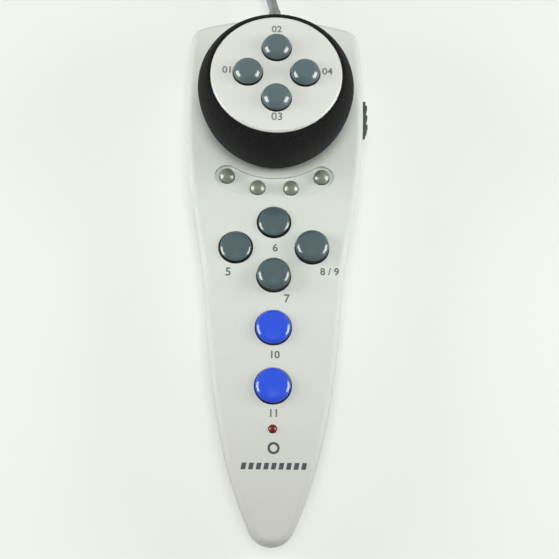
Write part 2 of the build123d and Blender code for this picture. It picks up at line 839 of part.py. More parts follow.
def arc_radii(points):
    """Radius at each corner of a route: 0.45 of its shorter run over the tangent of half the turn."""
    corners = [Vector(*point) for point in points]
    radii = []
    for before, here, after in zip(corners, corners[1:], corners[2:]):
        turn = (here - before).get_angle(after - here)
        run = min((here - before).length, (after - here).length)
        radii.append(0.45 * run / tan(radians(turn / 2)))
    return radii


def cord_section(path):
    """Section of the cord square to the start of its path."""
    return Plane(origin=path @ 0, z_dir=path % 0)


def cord():
    """Free stretch of the cord: straight runs joined by tangent arcs."""
    points = cord_route()
    radii = arc_radii(points)
    path = FilletPolyline(*points, radius=radii)
    tube = sweep(cord_section(path) * Circle(cord_radius), path)
    print("cord radii", [round(radius, 1) for radius in radii], "length", round(path.length, 1),
          "volume over section times length", round(tube.volume / (pi * cord_radius**2 * path.length), 4))
    return tube


def hank_wire():
    """Centre line of the hank: flat loops wound inwards, one climb, and loops wound out again."""
    near, far = hank_near_y, hank_near_y + hank_run
    edges = []
    left, z = -hank_outer, hank_low_z

    def half_turn(start_x, end_x, y, height):
        bulge = abs(end_x - start_x) / 2 * (1 if y == far else -1)
        middle = ((start_x + end_x) / 2 + hank_x, y + bulge, height)
        return ThreePointArc((start_x + hank_x, y, height), middle, (end_x + hank_x, y, height))

    for _ in range(hank_turns):
        right = -left - hank_pitch / 2
        edges.append(Line((left + hank_x, near, z), (left + hank_x, far, z)))
        edges.append(half_turn(left, right, far, z))
        edges.append(Line((right + hank_x, far, z), (right + hank_x, near, z)))
        left += hank_pitch
        edges.append(half_turn(right, left, near, z))
    middle = (left + hank_x, (near + far) / 2, (hank_low_z + hank_high_z) / 2)
    edges.append(TangentArc((left + hank_x, near, z), middle, tangent=(0, 1, 0)))
    z = hank_high_z
    edges.append(TangentArc(middle, (left + hank_x, far, z), tangent=edges[-1] % 1))
    for _ in range(hank_turns):
        right = -left + hank_pitch / 2
        edges.append(half_turn(left, right, far, z))
        edges.append(Line((right + hank_x, far, z), (right + hank_x, near, z)))
        left -= hank_pitch
        edges.append(half_turn(right, left, near, z))
        end = plug_near_y if left <= -hank_outer + fit else far
        edges.append(Line((left + hank_x, near, z), (left + hank_x, end, z)))
    return Wire(edges)


def least_gap(path, step):
    """Least gap between the cord's turns, measured on points along its centre line."""
    count = int(path.length / step)
    spots = [path @ (index / count) for index in range(count + 1)]
    skip = int(6 * cord_radius / step)
    gaps = [(spots[i] - spots[j]).length for i in range(count) for j in range(i + skip, count + 1)]
    return min(gaps) - 2 * cord_radius


def cord_hank():
    """Wound part of the cord as one unbroken tube."""
    path = hank_wire()
    section = Plane(origin=path @ 0, x_dir=(1, 0, 0), z_dir=(0, 1, 0))
    tube = sweep(section * RegularPolygon(cord_radius, hank_sides), path, clean=False)
    print("hank length", round(path.length, 1), "least gap", round(least_gap(path, 2 * cord_radius), 2))
    return tube


def cord_tie():
    """Flat tie round the runs on the hank's right."""
    outer_x = hank_outer - hank_pitch / 2 + cord_radius + tie_gap
    inner_x = hank_outer - hank_pitch * (hank_turns - 0.5) - cord_radius - tie_gap
    low = hank_low_z - cord_radius - tie_gap
    high = hank_high_z + cord_radius + tie_gap
    x = hank_x + (outer_x + inner_x) / 2
    y = hank_near_y + hank_run / 2
    width = outer_x - inner_x
    strap = block(width + 2 * tie_thick, tie_width, low - tie_thick, high + tie_thick, x, y)
    return strap - block(width, 2 * tie_width, low, high, x, y)


def contact_places():
    """Places across the plug of its row of contacts."""
    pitch = (plug_width - 4 * plug_step) / plug_contacts
    return [hank_x - hank_outer + (index - (plug_contacts - 1) / 2) * pitch for index in range(plug_contacts)]


def plug():
    """Flat moulded plug with its neck and a nose that has one square hole for each contact."""
    x = hank_x - hank_outer
    high = 2 * hank_high_z
    neck = Pos(x, plug_near_y + plug_neck / 2, hank_high_z) * Box(3 * relief_neck, plug_neck, 2 * relief_neck)
    body_y = plug_near_y + plug_neck + plug_length / 2
    body = block(plug_width, plug_length, 0, high, x, body_y)
    body = fillet(body.edges().filter_by(Axis.Z), plug_round)
    nose = block(plug_width - 2 * plug_step, plug_nose, plug_step, high - plug_step,
                 x, plug_face_y - plug_nose / 2)
    solid = neck + body + nose
    for place in contact_places():
        solid -= block(contact_hole, contact_deep, hank_high_z - contact_hole / 2,
                       hank_high_z + contact_hole / 2, place, plug_face_y - contact_deep / 2)
    return solid


def plug_contacts_row():
    """Flat contacts on the floors of the holes in the plug's nose."""
    low = hank_high_z - contact_hole / 2
    return Compound([block(contact_hole - 2 * running_gap, contact_deep - 1, low, low + contact_thick, place,
                           plug_face_y - (contact_deep + 1) / 2) for place in contact_places()])


def make_parts():
    """Every sub-part by its name."""
    shell = case_shell()
    parts = {"top_case": top_case(shell), "bottom_case": bottom_case(shell)}
    makers = (case_screws, board_screws, steering_bush, main_board, board_components, button_sheet,
              status_lamp, angle_sensor, sensor_spindle, sector_gear, centring_spring, pinion,
              retaining_clip, wheel_hub, wheel_tyre, face_plate, face_screws, face_board, face_sheet,
              wheel_lead, switch_knob, switch_body, strain_relief, cord, cord_hank, cord_tie, plug,
              plug_contacts_row)
    for maker in makers:
        parts[maker.__name__] = maker()
    for name, place, radius, seat_z, rim_z, dome, travel in top_buttons():
        parts[name] = button(place, radius, seat_z, rim_z, dome, travel, pad_top_z)
    for name, place in face_places():
        parts[name] = button(place, face_button_radius, plate_low, face_z + face_button_rim,
                             face_button_dome, face_travel, face_pad_z)
    return parts


if __name__ == "__main__":
    os.makedirs("parts", exist_ok=True)
    for part_name, part in make_parts().items():
        export_step(part, f"parts/{part_name}.step")
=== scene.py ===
"""One-handed racing controller with a steering wheel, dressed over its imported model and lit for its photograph.

Sizes are in millimetres where they are named, and in metres in the meshes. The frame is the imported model's own:
the origin is the middle of the case on the table, +Y runs to the wheel end and +Z is up.
"""

import logging
from collections.abc import Callable, Iterator, Sequence
from contextlib import contextmanager
from dataclasses import dataclass, field
from enum import Enum
from math import asin, cos, degrees, pi, radians, sin, sqrt

import bmesh
import bpy
from mathutils import Matrix, Vector


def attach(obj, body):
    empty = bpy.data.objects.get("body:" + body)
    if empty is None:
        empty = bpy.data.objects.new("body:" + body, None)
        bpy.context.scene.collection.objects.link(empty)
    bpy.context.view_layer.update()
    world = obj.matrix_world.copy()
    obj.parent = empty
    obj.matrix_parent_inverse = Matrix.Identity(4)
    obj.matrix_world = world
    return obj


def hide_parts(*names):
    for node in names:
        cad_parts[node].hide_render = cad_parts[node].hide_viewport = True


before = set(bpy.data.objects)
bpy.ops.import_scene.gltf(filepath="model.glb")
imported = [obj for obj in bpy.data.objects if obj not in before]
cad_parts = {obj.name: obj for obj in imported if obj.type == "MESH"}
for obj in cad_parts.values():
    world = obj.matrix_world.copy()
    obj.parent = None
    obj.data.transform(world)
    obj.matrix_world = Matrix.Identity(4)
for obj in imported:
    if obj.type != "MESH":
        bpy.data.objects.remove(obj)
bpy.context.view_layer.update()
MM = 0.001
WELD, PACKED_WELD = 1e-7, 2e-6  # how near vertices are merged on a new piece and on a packed one, in metres
ON_PLANE = 1e-6  # how near to a plane counts as on it, in metres
CLOUDY = (0.3, 0.7)  # where most values of a noise lie
WHEEL_Y = 62.5  # the wheel's axis, in millimetres along the case
log = logging.getLogger("racing_controller")

Ring = tuple[float, float]
Range = tuple[float, float]
Place = tuple[float, float, float]
Colour = tuple[int, int, int]


class Part(Enum):
    """What an edit-mode selection picks, with Blender's name of its select mode."""

    VERTS = "VERT"
    EDGES = "EDGE"
    FACES = "FACE"


class Body(Enum):
    """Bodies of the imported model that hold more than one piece."""

    HOUSING = "housing"
    WHEEL = "wheel"
    KNOB = "switch_knob"


# ---------------------------------------------------------------- bench: the modelling steps

def select_only(*objects: bpy.types.Object) -> None:
    """Select the given objects alone.

    Args:
        objects: The objects, with the one that becomes active first.
    """
    bpy.ops.object.select_all(action="DESELECT")
    for obj in objects:
        obj.select_set(True)
    bpy.context.view_layer.objects.active = objects[0]


@contextmanager
def editing(obj: bpy.types.Object, part: Part = Part.VERTS) -> Iterator[None]:
    """Hold an object in edit mode.

    Args:
        obj: The mesh object to edit.
        part: What the selections in there pick.
    """
    select_only(obj)
    bpy.ops.object.mode_set(mode="EDIT")
    bpy.ops.mesh.select_mode(type=part.value)
    yield
    bpy.ops.object.mode_set(mode="OBJECT")


def mark(obj: bpy.types.Object, part: Part, test: Callable[[Vector], bool]) -> int:
    """Select, in edit mode, what has its middle at a place that passes a test.

    Args:
        obj: The object in edit mode.
        part: Whether vertices, edges or faces are tested.
        test: Told the middle in metres, says whether it is selected.

    Returns:
        How many were selected.
    """
    bpy.ops.mesh.select_all(action="DESELECT")
    mesh = bmesh.from_edit_mesh(obj.data)
    if part is Part.VERTS:
        chosen = [vert for vert in mesh.verts if test(vert.co)]
    elif part is Part.EDGES:
        chosen = [edge for edge in mesh.edges if test((edge.verts[0].co + edge.verts[1].co) / 2)]
    else:
        chosen = [face for face in mesh.faces if test(face.calc_center_median())]
    for item in chosen:
        item.select_set(True)
    mesh.select_flush(True)
    bmesh.update_edit_mesh(obj.data)
    return len(chosen)


def settle(obj: bpy.types.Object, at: Place = (0, 0, 0), turn: Place = (0, 0, 0)) -> bpy.types.Object:
    """Turn and move an object, then put its place into its mesh.

    Args:
        obj: The object.
        at: How far it moves, in millimetres.
        turn: Its turn about X, Y and Z, in degrees.

    Returns:
        The object, at the origin and unturned.
    """
    select_only(obj)
    bpy.ops.object.transform_apply(location=True, rotation=True, scale=True)
    obj.rotation_euler = [radians(angle) for angle in turn]
    obj.location = Vector(at) * MM
    bpy.ops.object.transform_apply(location=True, rotation=True, scale=True)
    return obj


def pinch(rise: float) -> None:
    """Close the selected ring in one point on the axis, so many millimetres above it."""
    bpy.ops.mesh.extrude_region_move(TRANSFORM_OT_translate={"value": (0, 0, rise * MM)})
    bpy.ops.mesh.merge(type="CENTER")


def turned(name: str, outline: Sequence[Ring], sides: int = 96) -> bpy.types.Object:
    """Model a turned piece about the upright axis: one ring extruded and scaled along its outline.

    Args:
        name: The piece's name.
        outline: (radius, height) points in millimetres; a first or last radius of 0 closes the piece.
        sides: How many vertices a ring has.

    Returns:
        The piece, about the origin.
    """
    rings = [point for point in outline if point[0] > 0]
    radius, height = rings[0]
    bpy.ops.object.select_all(action="DESELECT")
    bpy.ops.mesh.primitive_circle_add(vertices=sides, radius=radius * MM, location=(0, 0, height * MM),
                                      enter_editmode=True)
    obj = bpy.context.object
    obj.name = obj.data.name = name
    bpy.ops.mesh.select_mode(type=Part.VERTS.value)
    if outline[0][0] == 0:
        pinch(outline[0][1] - height)
        mark(obj, Part.VERTS, lambda middle: middle.xy.length > radius * MM / 2)
    for (before, low), (after, high) in zip(rings, rings[1:]):
        bpy.ops.mesh.extrude_region_move(TRANSFORM_OT_translate={"value": (0, 0, (high - low) * MM)})
        share = after / before
        bpy.ops.transform.resize(value=(share, share, 1), center_override=(0, 0, high * MM))
    if outline[-1][0] == 0:
        pinch(outline[-1][1] - rings[-1][1])
    bpy.ops.mesh.select_all(action="SELECT")
    bpy.ops.mesh.remove_doubles(threshold=WELD)
    bpy.ops.mesh.normals_make_consistent(inside=False)
    bpy.ops.object.mode_set(mode="OBJECT")
    return settle(obj)


def slab(name: str, low: Place, high: Place) -> bpy.types.Object:
    """Start a square piece from a cube.

    Args:
        name: The piece's name.
        low: Its corner with the least X, Y and Z, in millimetres.
        high: The opposite corner.

    Returns:
        The piece.
    """
    middle = [(a + b) / 2 * MM for a, b in zip(low, high)]
    size = [(b - a) * MM for a, b in zip(low, high)]
    bpy.ops.object.select_all(action="DESELECT")
    bpy.ops.mesh.primitive_cube_add(size=1, location=middle, scale=size)
    obj = bpy.context.object
    obj.name = obj.data.name = name
    return settle(obj)


def soften(obj: bpy.types.Object, width: float, segments: int, test: Callable[[Vector], bool]) -> int:
    """Round the edges whose middle passes a test.

    Args:
        obj: The object.
        width: Width of the rounding in millimetres.
        segments: Its number of facets.
        test: Told an edge's middle in metres.

    Returns:
        How many edges were rounded.
    """
    with editing(obj, Part.EDGES):
        count = mark(obj, Part.EDGES, test)
        if count:
            bpy.ops.mesh.bevel(offset=width * MM, segments=segments, affect="EDGES", clamp_overlap=True)
    return count


def with_modifier(obj: bpy.types.Object, kind: str, **settings: object) -> None:
    """Add a modifier and apply it.

    Args:
        obj: The object.
        kind: Blender's name of the modifier.
        settings: Its settings.
    """
    select_only(obj)
    modifier = obj.modifiers.new(kind.title(), kind)
    for key, value in settings.items():
        setattr(modifier, key, value)
    bpy.ops.object.modifier_apply(modifier=modifier.name)


def broken(obj: bpy.types.Object, width: float, segments: int = 2) -> None:
    """Break an object's sharp edges by a bevel of a width in millimetres."""
    with_modifier(obj, "BEVEL", width=width * MM, segments=segments, limit_method="ANGLE")


def smooth(obj: bpy.types.Object, crease: float = 40.0, weighted: bool = False) -> bpy.types.Object:
    """Shade an object smooth between its creases.

    Args:
        obj: The object.
        crease: Angle in degrees above which an edge stays a crease.
        weighted: Whether large faces rule the shading of the small ones beside them.

    Returns:
        The object.
    """
    select_only(obj)
    bpy.ops.object.shade_smooth_by_angle(angle=radians(crease))
    if weighted:
        with_modifier(obj, "WEIGHTED_NORMAL", weight=50, keep_sharp=True)
    return obj


def joined(main: bpy.types.Object, *others: bpy.types.Object) -> bpy.types.Object:
    """Join pieces into one.

    Args:
        main: The piece that stays.
        others: The pieces that go into it.

    Returns:
        The piece that stays.
    """
    select_only(main, *others)
    bpy.ops.object.join()
    return main


def twin(obj: bpy.types.Object, name: str, at: Place) -> bpy.types.Object:
    """Copy an object, with a mesh of its own.

    Args:
        obj: The object.
        name: The copy's name.
        at: How far the copy moves, in millimetres.

    Returns:
        The copy.
    """
    copy = bpy.data.objects.new(name, obj.data.copy())
    bpy.context.scene.collection.objects.link(copy)
    return settle(copy, at)


def skin(node: str, name: str) -> bpy.types.Object:
    """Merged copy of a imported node's mesh, to be shaped further and shown in its place.

    Args:
        node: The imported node.
        name: The new piece's name.

    Returns:
        The copy, with its loose triangles joined up.
    """
    obj = bpy.data.objects.new(name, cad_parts[node].data.copy())
    bpy.context.scene.collection.objects.link(obj)
    with editing(obj):
        bpy.ops.mesh.select_all(action="SELECT")
        bpy.ops.mesh.remove_doubles(threshold=PACKED_WELD)
        bpy.ops.mesh.customdata_custom_splitnormals_clear()
    return obj


def dressed(obj: bpy.types.Object, body: str, slot: str, finish: "Finish", *nodes: str) -> bpy.types.Object:
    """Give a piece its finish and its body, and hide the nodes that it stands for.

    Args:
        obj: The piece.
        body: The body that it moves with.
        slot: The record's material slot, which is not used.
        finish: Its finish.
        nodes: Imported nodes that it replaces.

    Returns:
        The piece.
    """
    obj.data.materials.clear()
    obj.data.materials.append(finish.material())
    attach(obj, body)
    if nodes:
        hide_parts(*nodes)
    log.info("%s on %s, finish %s", obj.name, body, finish.name)
    return obj


def second(obj: bpy.types.Object, finish: "Finish", test: Callable[[Vector], bool]) -> None:
    """Give some of a piece's faces another finish.

    Args:
        obj: The piece.
        finish: The other finish.
        test: Told a face's middle in metres, says whether the face takes it.
    """
    obj.data.materials.append(finish.material())
    with editing(obj, Part.FACES):
        mark(obj, Part.FACES, test)
        obj.active_material_index = len(obj.data.materials) - 1
        bpy.ops.object.material_slot_assign()


def swell(widest: Ring, end: Ring, steps: int) -> list[Ring]:
    """Outline points of an arc that leaves its widest point upright.

    Args:
        widest: The widest point, as (radius, height).
        end: Where the arc ends, nearer to the axis.
        steps: How many facets it has.

    Returns:
        The points, the widest first.
    """
    narrowing, rise = widest[0] - end[0], end[1] - widest[1]
    radius = (narrowing**2 + rise**2) / (2 * narrowing)
    whole = asin(rise / radius)
    return [(widest[0] - radius + radius * cos(whole * step / steps),
             widest[1] + radius * sin(whole * step / steps)) for step in range(steps + 1)]


def crown(radius: float, rim: float, rise: float, rounding: float, steps: int = 8) -> list[Ring]:
    """Outline points of a domed top whose rim is rounded, from the side wall to the axis.

    Args:
        radius: Radius of the side wall.
        rim: Height at which the dome would meet the wall.
        rise: Height of the dome over that.
        rounding: Radius of the rounded rim.
        steps: How many facets the rim and the dome have each.

    Returns:
        The points.
    """
    ball, top = (radius**2 + rise**2) / (2 * rise), rim + rise
    across, along = radius - rounding, ball - rounding
    lean = asin(across / along)
    middle = top - ball + along * cos(lean)
    turns = [(pi / 2 - lean) * step / steps for step in range(steps + 1)]
    edge = [(across + rounding * cos(turn), middle + rounding * sin(turn)) for turn in turns]
    leans = [lean * (1 - step / steps) for step in range(1, steps)]
    return [*edge, *[(ball * sin(turn), top - ball + ball * cos(turn)) for turn in leans], (0, top)]


# ---------------------------------------------------------------- finishes

def linear(colour: Colour, share: float = 1.0) -> tuple[float, float, float, float]:
    """Linear colour of an sRGB one from 0 to 255.

    Args:
        colour: The sRGB colour.
        share: The part of its light that is left, for a darker one.

    Returns:
        The linear colour, opaque.
    """
    parts = [value / 255 for value in colour]
    curved = [part / 12.92 if part <= 0.04045 else ((part + 0.055) / 1.055) ** 2.4 for part in parts]
    return (*[part * share for part in curved], 1.0)


class Mixer:
    """Node tree of one material, or of the room's light, while it is being put together."""

    def __init__(self, owner: bpy.types.Material | bpy.types.World) -> None:
        """Start with the nodes that Blender gives the owner."""
        owner.use_nodes = True
        self.tree = owner.node_tree
        self.shader = self.tree.nodes.get("Principled BSDF")
        self.here = self.add("ShaderNodeTexCoord", {}, "Object")

    def add(self, kind: str, inputs: dict[str | int, object], output: str | int = 0,
            **settings: object) -> bpy.types.NodeSocket:
        """Add a node.

        Args:
            kind: Blender's name of the node.
            inputs: Values or sockets for its inputs.
            output: The output that is wanted.
            settings: Its settings.

        Returns:
            The output's socket.
        """
        node = self.tree.nodes.new(kind)
        for key, value in settings.items():
            setattr(node, key, value)
        for key, value in inputs.items():
            self.set(node.inputs[key], value)
        return node.outputs[output]

    def set(self, socket: bpy.types.NodeSocket, value: object) -> None:
        """Link an input, or set its value.

        Args:
            socket: The input's socket.
            value: The socket that it is linked to, or its value.
        """
        if isinstance(value, bpy.types.NodeSocket):
            self.tree.links.new(value, socket)
        else:
            socket.default_value = value

    def shade(self, **values: object) -> None:
        """Set the shader's inputs, named with underscores for spaces."""
        for key, value in values.items():
            self.set(self.shader.inputs[key.replace("_", " ")], value)

    def noise(self, per_metre: float, detail: float = 2.0, rough: float = 0.5) -> bpy.types.NodeSocket:
        """Cloudy pattern from 0 to 1 with so many features in a metre."""
        return self.add("ShaderNodeTexNoise", {"Vector": self.here, "Scale": per_metre, "Detail": detail,
                                               "Roughness": rough}, "Fac")

    def cells(self, per_metre: float) -> bpy.types.NodeSocket:
        """Distance pattern of cells with so many in a metre."""
        return self.add("ShaderNodeTexVoronoi", {"Vector": self.here, "Scale": per_metre}, "Distance")

    def spread(self, fac: bpy.types.NodeSocket, low: float, high: float, to_low: float = 0.0,
               to_high: float = 1.0) -> bpy.types.NodeSocket:
        """Map a range of a pattern to another range."""
        return self.add("ShaderNodeMapRange", {"Value": fac, "From Min": low, "From Max": high,
                                               "To Min": to_low, "To Max": to_high}, "Result")

    def clouds(self, per_metre: float, detail: float, low: float = 0.0, high: float = 1.0) -> bpy.types.NodeSocket:
        """Cloudy pattern that fills a whole range."""
        return self.spread(self.noise(per_metre, detail), *CLOUDY, low, high)

    def blend(self, fac: object, first: object, second: object, how: str = "MIX") -> bpy.types.NodeSocket:
        """Mix two colours."""
        return self.add("ShaderNodeMix", {0: fac, 6: first, 7: second}, 2, data_type="RGBA", blend_type=how)

    def sum(self, how: str, first: object, second: object) -> bpy.types.NodeSocket:
        """Work out one number from two."""
        return self.add("ShaderNodeMath", {0: first, 1: second}, operation=how)

    def seen(self) -> bpy.types.NodeSocket:
        """Tell the rays that show a thing from those that light with it.

        Returns:
            1 for rays from the camera, a gloss or through glass, and 0 for light.
        """
        path = self.tree.nodes.new("ShaderNodeLightPath").outputs
        direct = self.sum("MAXIMUM", path["Is Camera Ray"], path["Is Glossy Ray"])
        return self.sum("MAXIMUM", direct, path["Is Transmission Ray"])

    def relief(self, height: bpy.types.NodeSocket, depth: float, before: object = None) -> bpy.types.NodeSocket:
        """Bump the surface by a pattern.

        Args:
            height: The pattern.
            depth: Its depth in millimetres.
            before: The bump that lies under this one, if there is one.

        Returns:
            The bumped normal.
        """
        inputs = {"Height": height, "Distance": depth * MM, "Strength": 1.0}
        if before is not None:
            inputs["Normal"] = before
        return self.add("ShaderNodeBump", inputs, "Normal")


@dataclass(frozen=True)
class Finish:
    """What every finish has: its name, colour and roughness."""

    name: str
    colour: Colour
    roughness: float

    def material(self) -> bpy.types.Material:
        """Make the finish's material, the first time that it is asked for.

        Returns:
            The material.
        """
        material = bpy.data.materials.get(self.name)
        if material is None:
            material = bpy.data.materials.new(self.name)
            material.diffuse_color = linear(self.colour)
            self.fill(Mixer(material))
        return material

    def fill(self, mixer: Mixer) -> None:
        """Put the nodes of the finish together."""
        raise NotImplementedError


@dataclass(frozen=True)
class Moulded(Finish):
    """Moulded plastic: slight clouds in its colour, fine specks and a spark-eroded grain.

    In this and the other finishes, patterns are so many in a metre and depths are in millimetres.
    """

    clouds: float = 0.04
    specks: float = 0.03
    grain: float = 2600.0
    grain_depth: float = 0.004
    coat: float = 0.0
    coat_roughness: float = 0.06
    specular: float = 0.5
    painted_tip_shade: Colour | None = None
    tip_shade_from: float = 0.0
    tip_shade_to: float = -0.095
    tip_shade_edge: float = 0.012

    def fill(self, mixer: Mixer) -> None:
        """Cloud, speck and grain over the plastic's colour, with painted shade that darkens it towards the tip.

        Args:
            mixer: The material's nodes.
        """
        colour = mixer.blend(mixer.clouds(per_metre=38, detail=3.0),
                             linear(self.colour, share=1 - 2 * self.clouds), linear(self.colour))
        # Painted shade: the colour darkens along -Y towards the tip, in place of the light that falls off there.
        if self.painted_tip_shade:
            along = mixer.add("ShaderNodeSeparateXYZ", {"Vector": mixer.here}, "Y")
            patches = mixer.noise(per_metre=25, detail=3.0)
            uneven = mixer.spread(patches, 0.0, 1.0, -self.tip_shade_edge, self.tip_shade_edge)
            tip_shade_mask = mixer.spread(mixer.sum("ADD", along, uneven), self.tip_shade_from, self.tip_shade_to)
            colour = mixer.blend(tip_shade_mask, colour, linear(self.painted_tip_shade))
        speck = mixer.spread(mixer.noise(self.grain, detail=1.0), low=0.35, high=0.65,
                             to_low=1 - 2 * self.specks, to_high=1 + self.specks)
        colour = mixer.blend(1.0, colour, mixer.add("ShaderNodeCombineColor", {0: speck, 1: speck, 2: speck}),
                             "MULTIPLY")
        mixer.shade(Base_Color=colour, Specular_IOR_Level=self.specular,
                    Roughness=mixer.clouds(per_metre=120, detail=4.0, low=self.roughness * 0.9,
                                           high=self.roughness * 1.1),
                    Coat_Weight=self.coat, Coat_Roughness=self.coat_roughness,
                    Normal=mixer.relief(mixer.noise(self.grain, detail=2.0), self.grain_depth))


@dataclass(frozen=True)
class Foam(Finish):
    """Cut foam rubber: open cells in black, with dust on the ridges between them."""

    dust: Colour = (70, 70, 72)
    cells: float = 1500.0
    cell_depth: float = 0.2
    pores: float = 3600.0
    pore_depth: float = 0.12
    patches: float = 90.0

    def fill(self, mixer: Mixer) -> None:
        """Cells of two sizes, darker in the hollows and greyer on the ridges.

        Args:
            mixer: The material's nodes.
        """
        coarse, fine = mixer.cells(self.cells), mixer.noise(self.pores, detail=4.0, rough=0.7)
        ridge, crumb = mixer.spread(coarse, low=0.35, high=0.8), mixer.spread(fine, low=0.4, high=0.75)
        dusty = mixer.sum("MULTIPLY", ridge, crumb)
        patchy = mixer.spread(mixer.noise(self.patches, detail=2.0), low=0.35, high=0.7, to_low=0.5)
        colour = mixer.blend(mixer.sum("MULTIPLY", dusty, patchy), linear(self.colour), linear(self.dust))
        rough = mixer.relief(fine, self.pore_depth, mixer.relief(coarse, self.cell_depth))
        mixer.shade(Base_Color=colour, Roughness=self.roughness, Specular_IOR_Level=0.1,
                    Sheen_Weight=0.03, Sheen_Roughness=0.6, Normal=rough)


@dataclass(frozen=True)
class Metal(Finish):
    """Drawn or pressed metal with fine scratches."""

    streaks: float = 900.0
    squeeze: float = 14.0
    streak_depth: float = 0.004

    def fill(self, mixer: Mixer) -> None:
        """Streaks that vary the metal's roughness and its colour a little.

        Args:
            mixer: The material's nodes.
        """
        drawn = mixer.add("ShaderNodeMapping", {"Vector": mixer.here, "Scale": (1.0, 1.0, self.squeeze)})
        streak = mixer.add("ShaderNodeTexNoise", {"Vector": drawn, "Scale": self.streaks, "Detail": 3.0}, "Fac")
        mixer.shade(Base_Color=mixer.blend(streak, linear(self.colour, share=0.72), linear(self.colour)), Metallic=1.0,
                    Roughness=mixer.spread(streak, *CLOUDY, self.roughness * 0.8, self.roughness * 1.3),
                    Normal=mixer.relief(streak, self.streak_depth))


@dataclass(frozen=True)
class Circuit(Finish):
    """Lacquered circuit board with tracks under its lacquer."""

    track: Colour = (52, 120, 70)
    tracks: float = 260.0
    track_edge: Range = (0.42, 0.46)
    track_height: float = 0.02

    def fill(self, mixer: Mixer) -> None:
        """Tracks as the edges of square cells, under a glossy coat.

        Args:
            mixer: The material's nodes.
        """
        cell = mixer.add("ShaderNodeTexVoronoi", {"Vector": mixer.here, "Scale": self.tracks}, "Distance",
                         distance="CHEBYCHEV", feature="F1")
        line = mixer.spread(cell, *self.track_edge)
        mixer.shade(Base_Color=mixer.blend(line, linear(self.colour), linear(self.track)),
                    Roughness=self.roughness, Coat_Weight=0.4, Coat_Roughness=0.1,
                    Normal=mixer.relief(line, self.track_height))


@dataclass(frozen=True)
class Ink(Finish):
    """Pad-printed ink, a little thin in places."""

    under: Colour = (120, 124, 128)
    pinholes: float = 2200.0
    thin_from: Range = (0.62, 0.78)

    def fill(self, mixer: Mixer) -> None:
        """Fine pinholes that let the plastic through."""
        thin = mixer.spread(mixer.noise(self.pinholes, detail=3.0), *self.thin_from)
        mixer.shade(Base_Color=mixer.blend(thin, linear(self.colour), linear(self.under)),
                    Roughness=self.roughness)


@dataclass(frozen=True)
class Lens(Finish):
    """Coloured clear resin, dark inside, with a painted glow that brightens its colour towards its edges as seen."""

    painted_edge_glow: Colour = (138, 30, 18)
    core: float = 0.35

    def fill(self, mixer: Mixer) -> None:
        """A darker core under a clear, glossy skin, with a painted glow towards the edges as seen."""
        # Painted glow: the colour brightens with the angle to the view, not with any lamp.
        core = mixer.add("ShaderNodeLayerWeight", {"Blend": self.core}, "Facing")
        mixer.shade(Base_Color=mixer.blend(core, linear(self.colour), linear(self.painted_edge_glow)),
                    Roughness=self.roughness, Transmission_Weight=0.1, IOR=1.5, Specular_IOR_Level=0.2,
                    Coat_Weight=0.06, Coat_Roughness=0.05,
                    Normal=mixer.relief(mixer.noise(per_metre=500, detail=1.0), depth=0.004))


@dataclass(frozen=True)
class Webbing(Finish):
    """Woven hook-and-loop strap."""

    threads: float = 320.0
    thread_depth: float = 0.12

    def fill(self, mixer: Mixer) -> None:
        """Two crossed sets of threads.

        Args:
            mixer: The material's nodes.
        """
        across, along = [mixer.add("ShaderNodeTexWave", {"Vector": mixer.here, "Scale": self.threads,
                                                         "Distortion": 1.0}, "Fac", bands_direction=axis)
                         for axis in "XY"]
        weave = mixer.sum("MULTIPLY", across, along)
        mixer.shade(Base_Color=mixer.blend(weave, linear(self.colour, share=0.45), linear(self.colour)),
                    Roughness=self.roughness, Sheen_Weight=0.3, Normal=mixer.relief(weave, self.thread_depth))


def gloss(name: str, colour: Colour) -> Moulded:
    """Hard, glossy plastic of a cap's top."""
    return Moulded(name, colour, 0.18, clouds=0.02, specks=0.01, grain_depth=0.001, coat=0.2, specular=0.3)


def side_shade_finish(name: str, colour: Colour) -> Moulded:
    """Near-black, duller plastic of a cap's side wall, as painted shade for the dark wall and gap round the cap."""
    return Moulded(name, colour, 0.5, clouds=0.02, specks=0.01, specular=0.15)


# The case finishes paint shade towards the tip with their darker tip colour.
CASE_SILVER = Moulded("silver_case", (210, 215, 209), 0.6, clouds=0.01, specks=0.012, grain=2400, specular=0.12,
                      painted_tip_shade=(196, 197, 192))
CASE_UNDER = Moulded("silver_case_under", (206, 210, 205), 0.6, clouds=0.012, specks=0.015, grain=1900,
                     grain_depth=0.01, specular=0.2, painted_tip_shade=(194, 194, 188))
FACE_SILVER = Moulded("silver_wheel_face", (214, 216, 211), 0.5, clouds=0.01, specks=0.01, grain=2600,
                      specular=0.2)
SLATE_GLOSS = gloss("slate_button", (84, 101, 106))
SLATE_DARK = gloss("dark_slate_button", (74, 91, 95))
# The side finishes are painted shade on the caps' walls and in the gaps round them.
SLATE_SIDE_SHADE = side_shade_finish("slate_button_side_shade", (12, 17, 17))
PEG_GREY = Moulded("grey_green_peg", (117, 126, 111), 0.3, clouds=0.03, specks=0.03)
BLUE_GLOSS = gloss("gloss_blue_button", (31, 76, 213))
BLUE_SIDE_SHADE = side_shade_finish("blue_button_side_shade", (8, 14, 60))
KNOB_DARK = Moulded("dark_switch", (54, 62, 56), 0.4, clouds=0.05)
TYRE_FOAM = Foam("tyre_foam", (9, 9, 10), 1.0, dust=(48, 47, 47))
HUB_BLACK = Moulded("black_hub", (30, 31, 33), 0.45)
CORD_GREY = Moulded("cord_rubber", (124, 127, 127), 0.5, clouds=0.05, specks=0.03, grain=1600, grain_depth=0.01)
RELIEF_GREY = Moulded("relief_rubber", (118, 121, 121), 0.55, clouds=0.04, grain=1600, grain_depth=0.01)
PLUG_GREY = Moulded("plug_plastic", (120, 123, 124), 0.45, clouds=0.03, grain=1500, grain_depth=0.012)
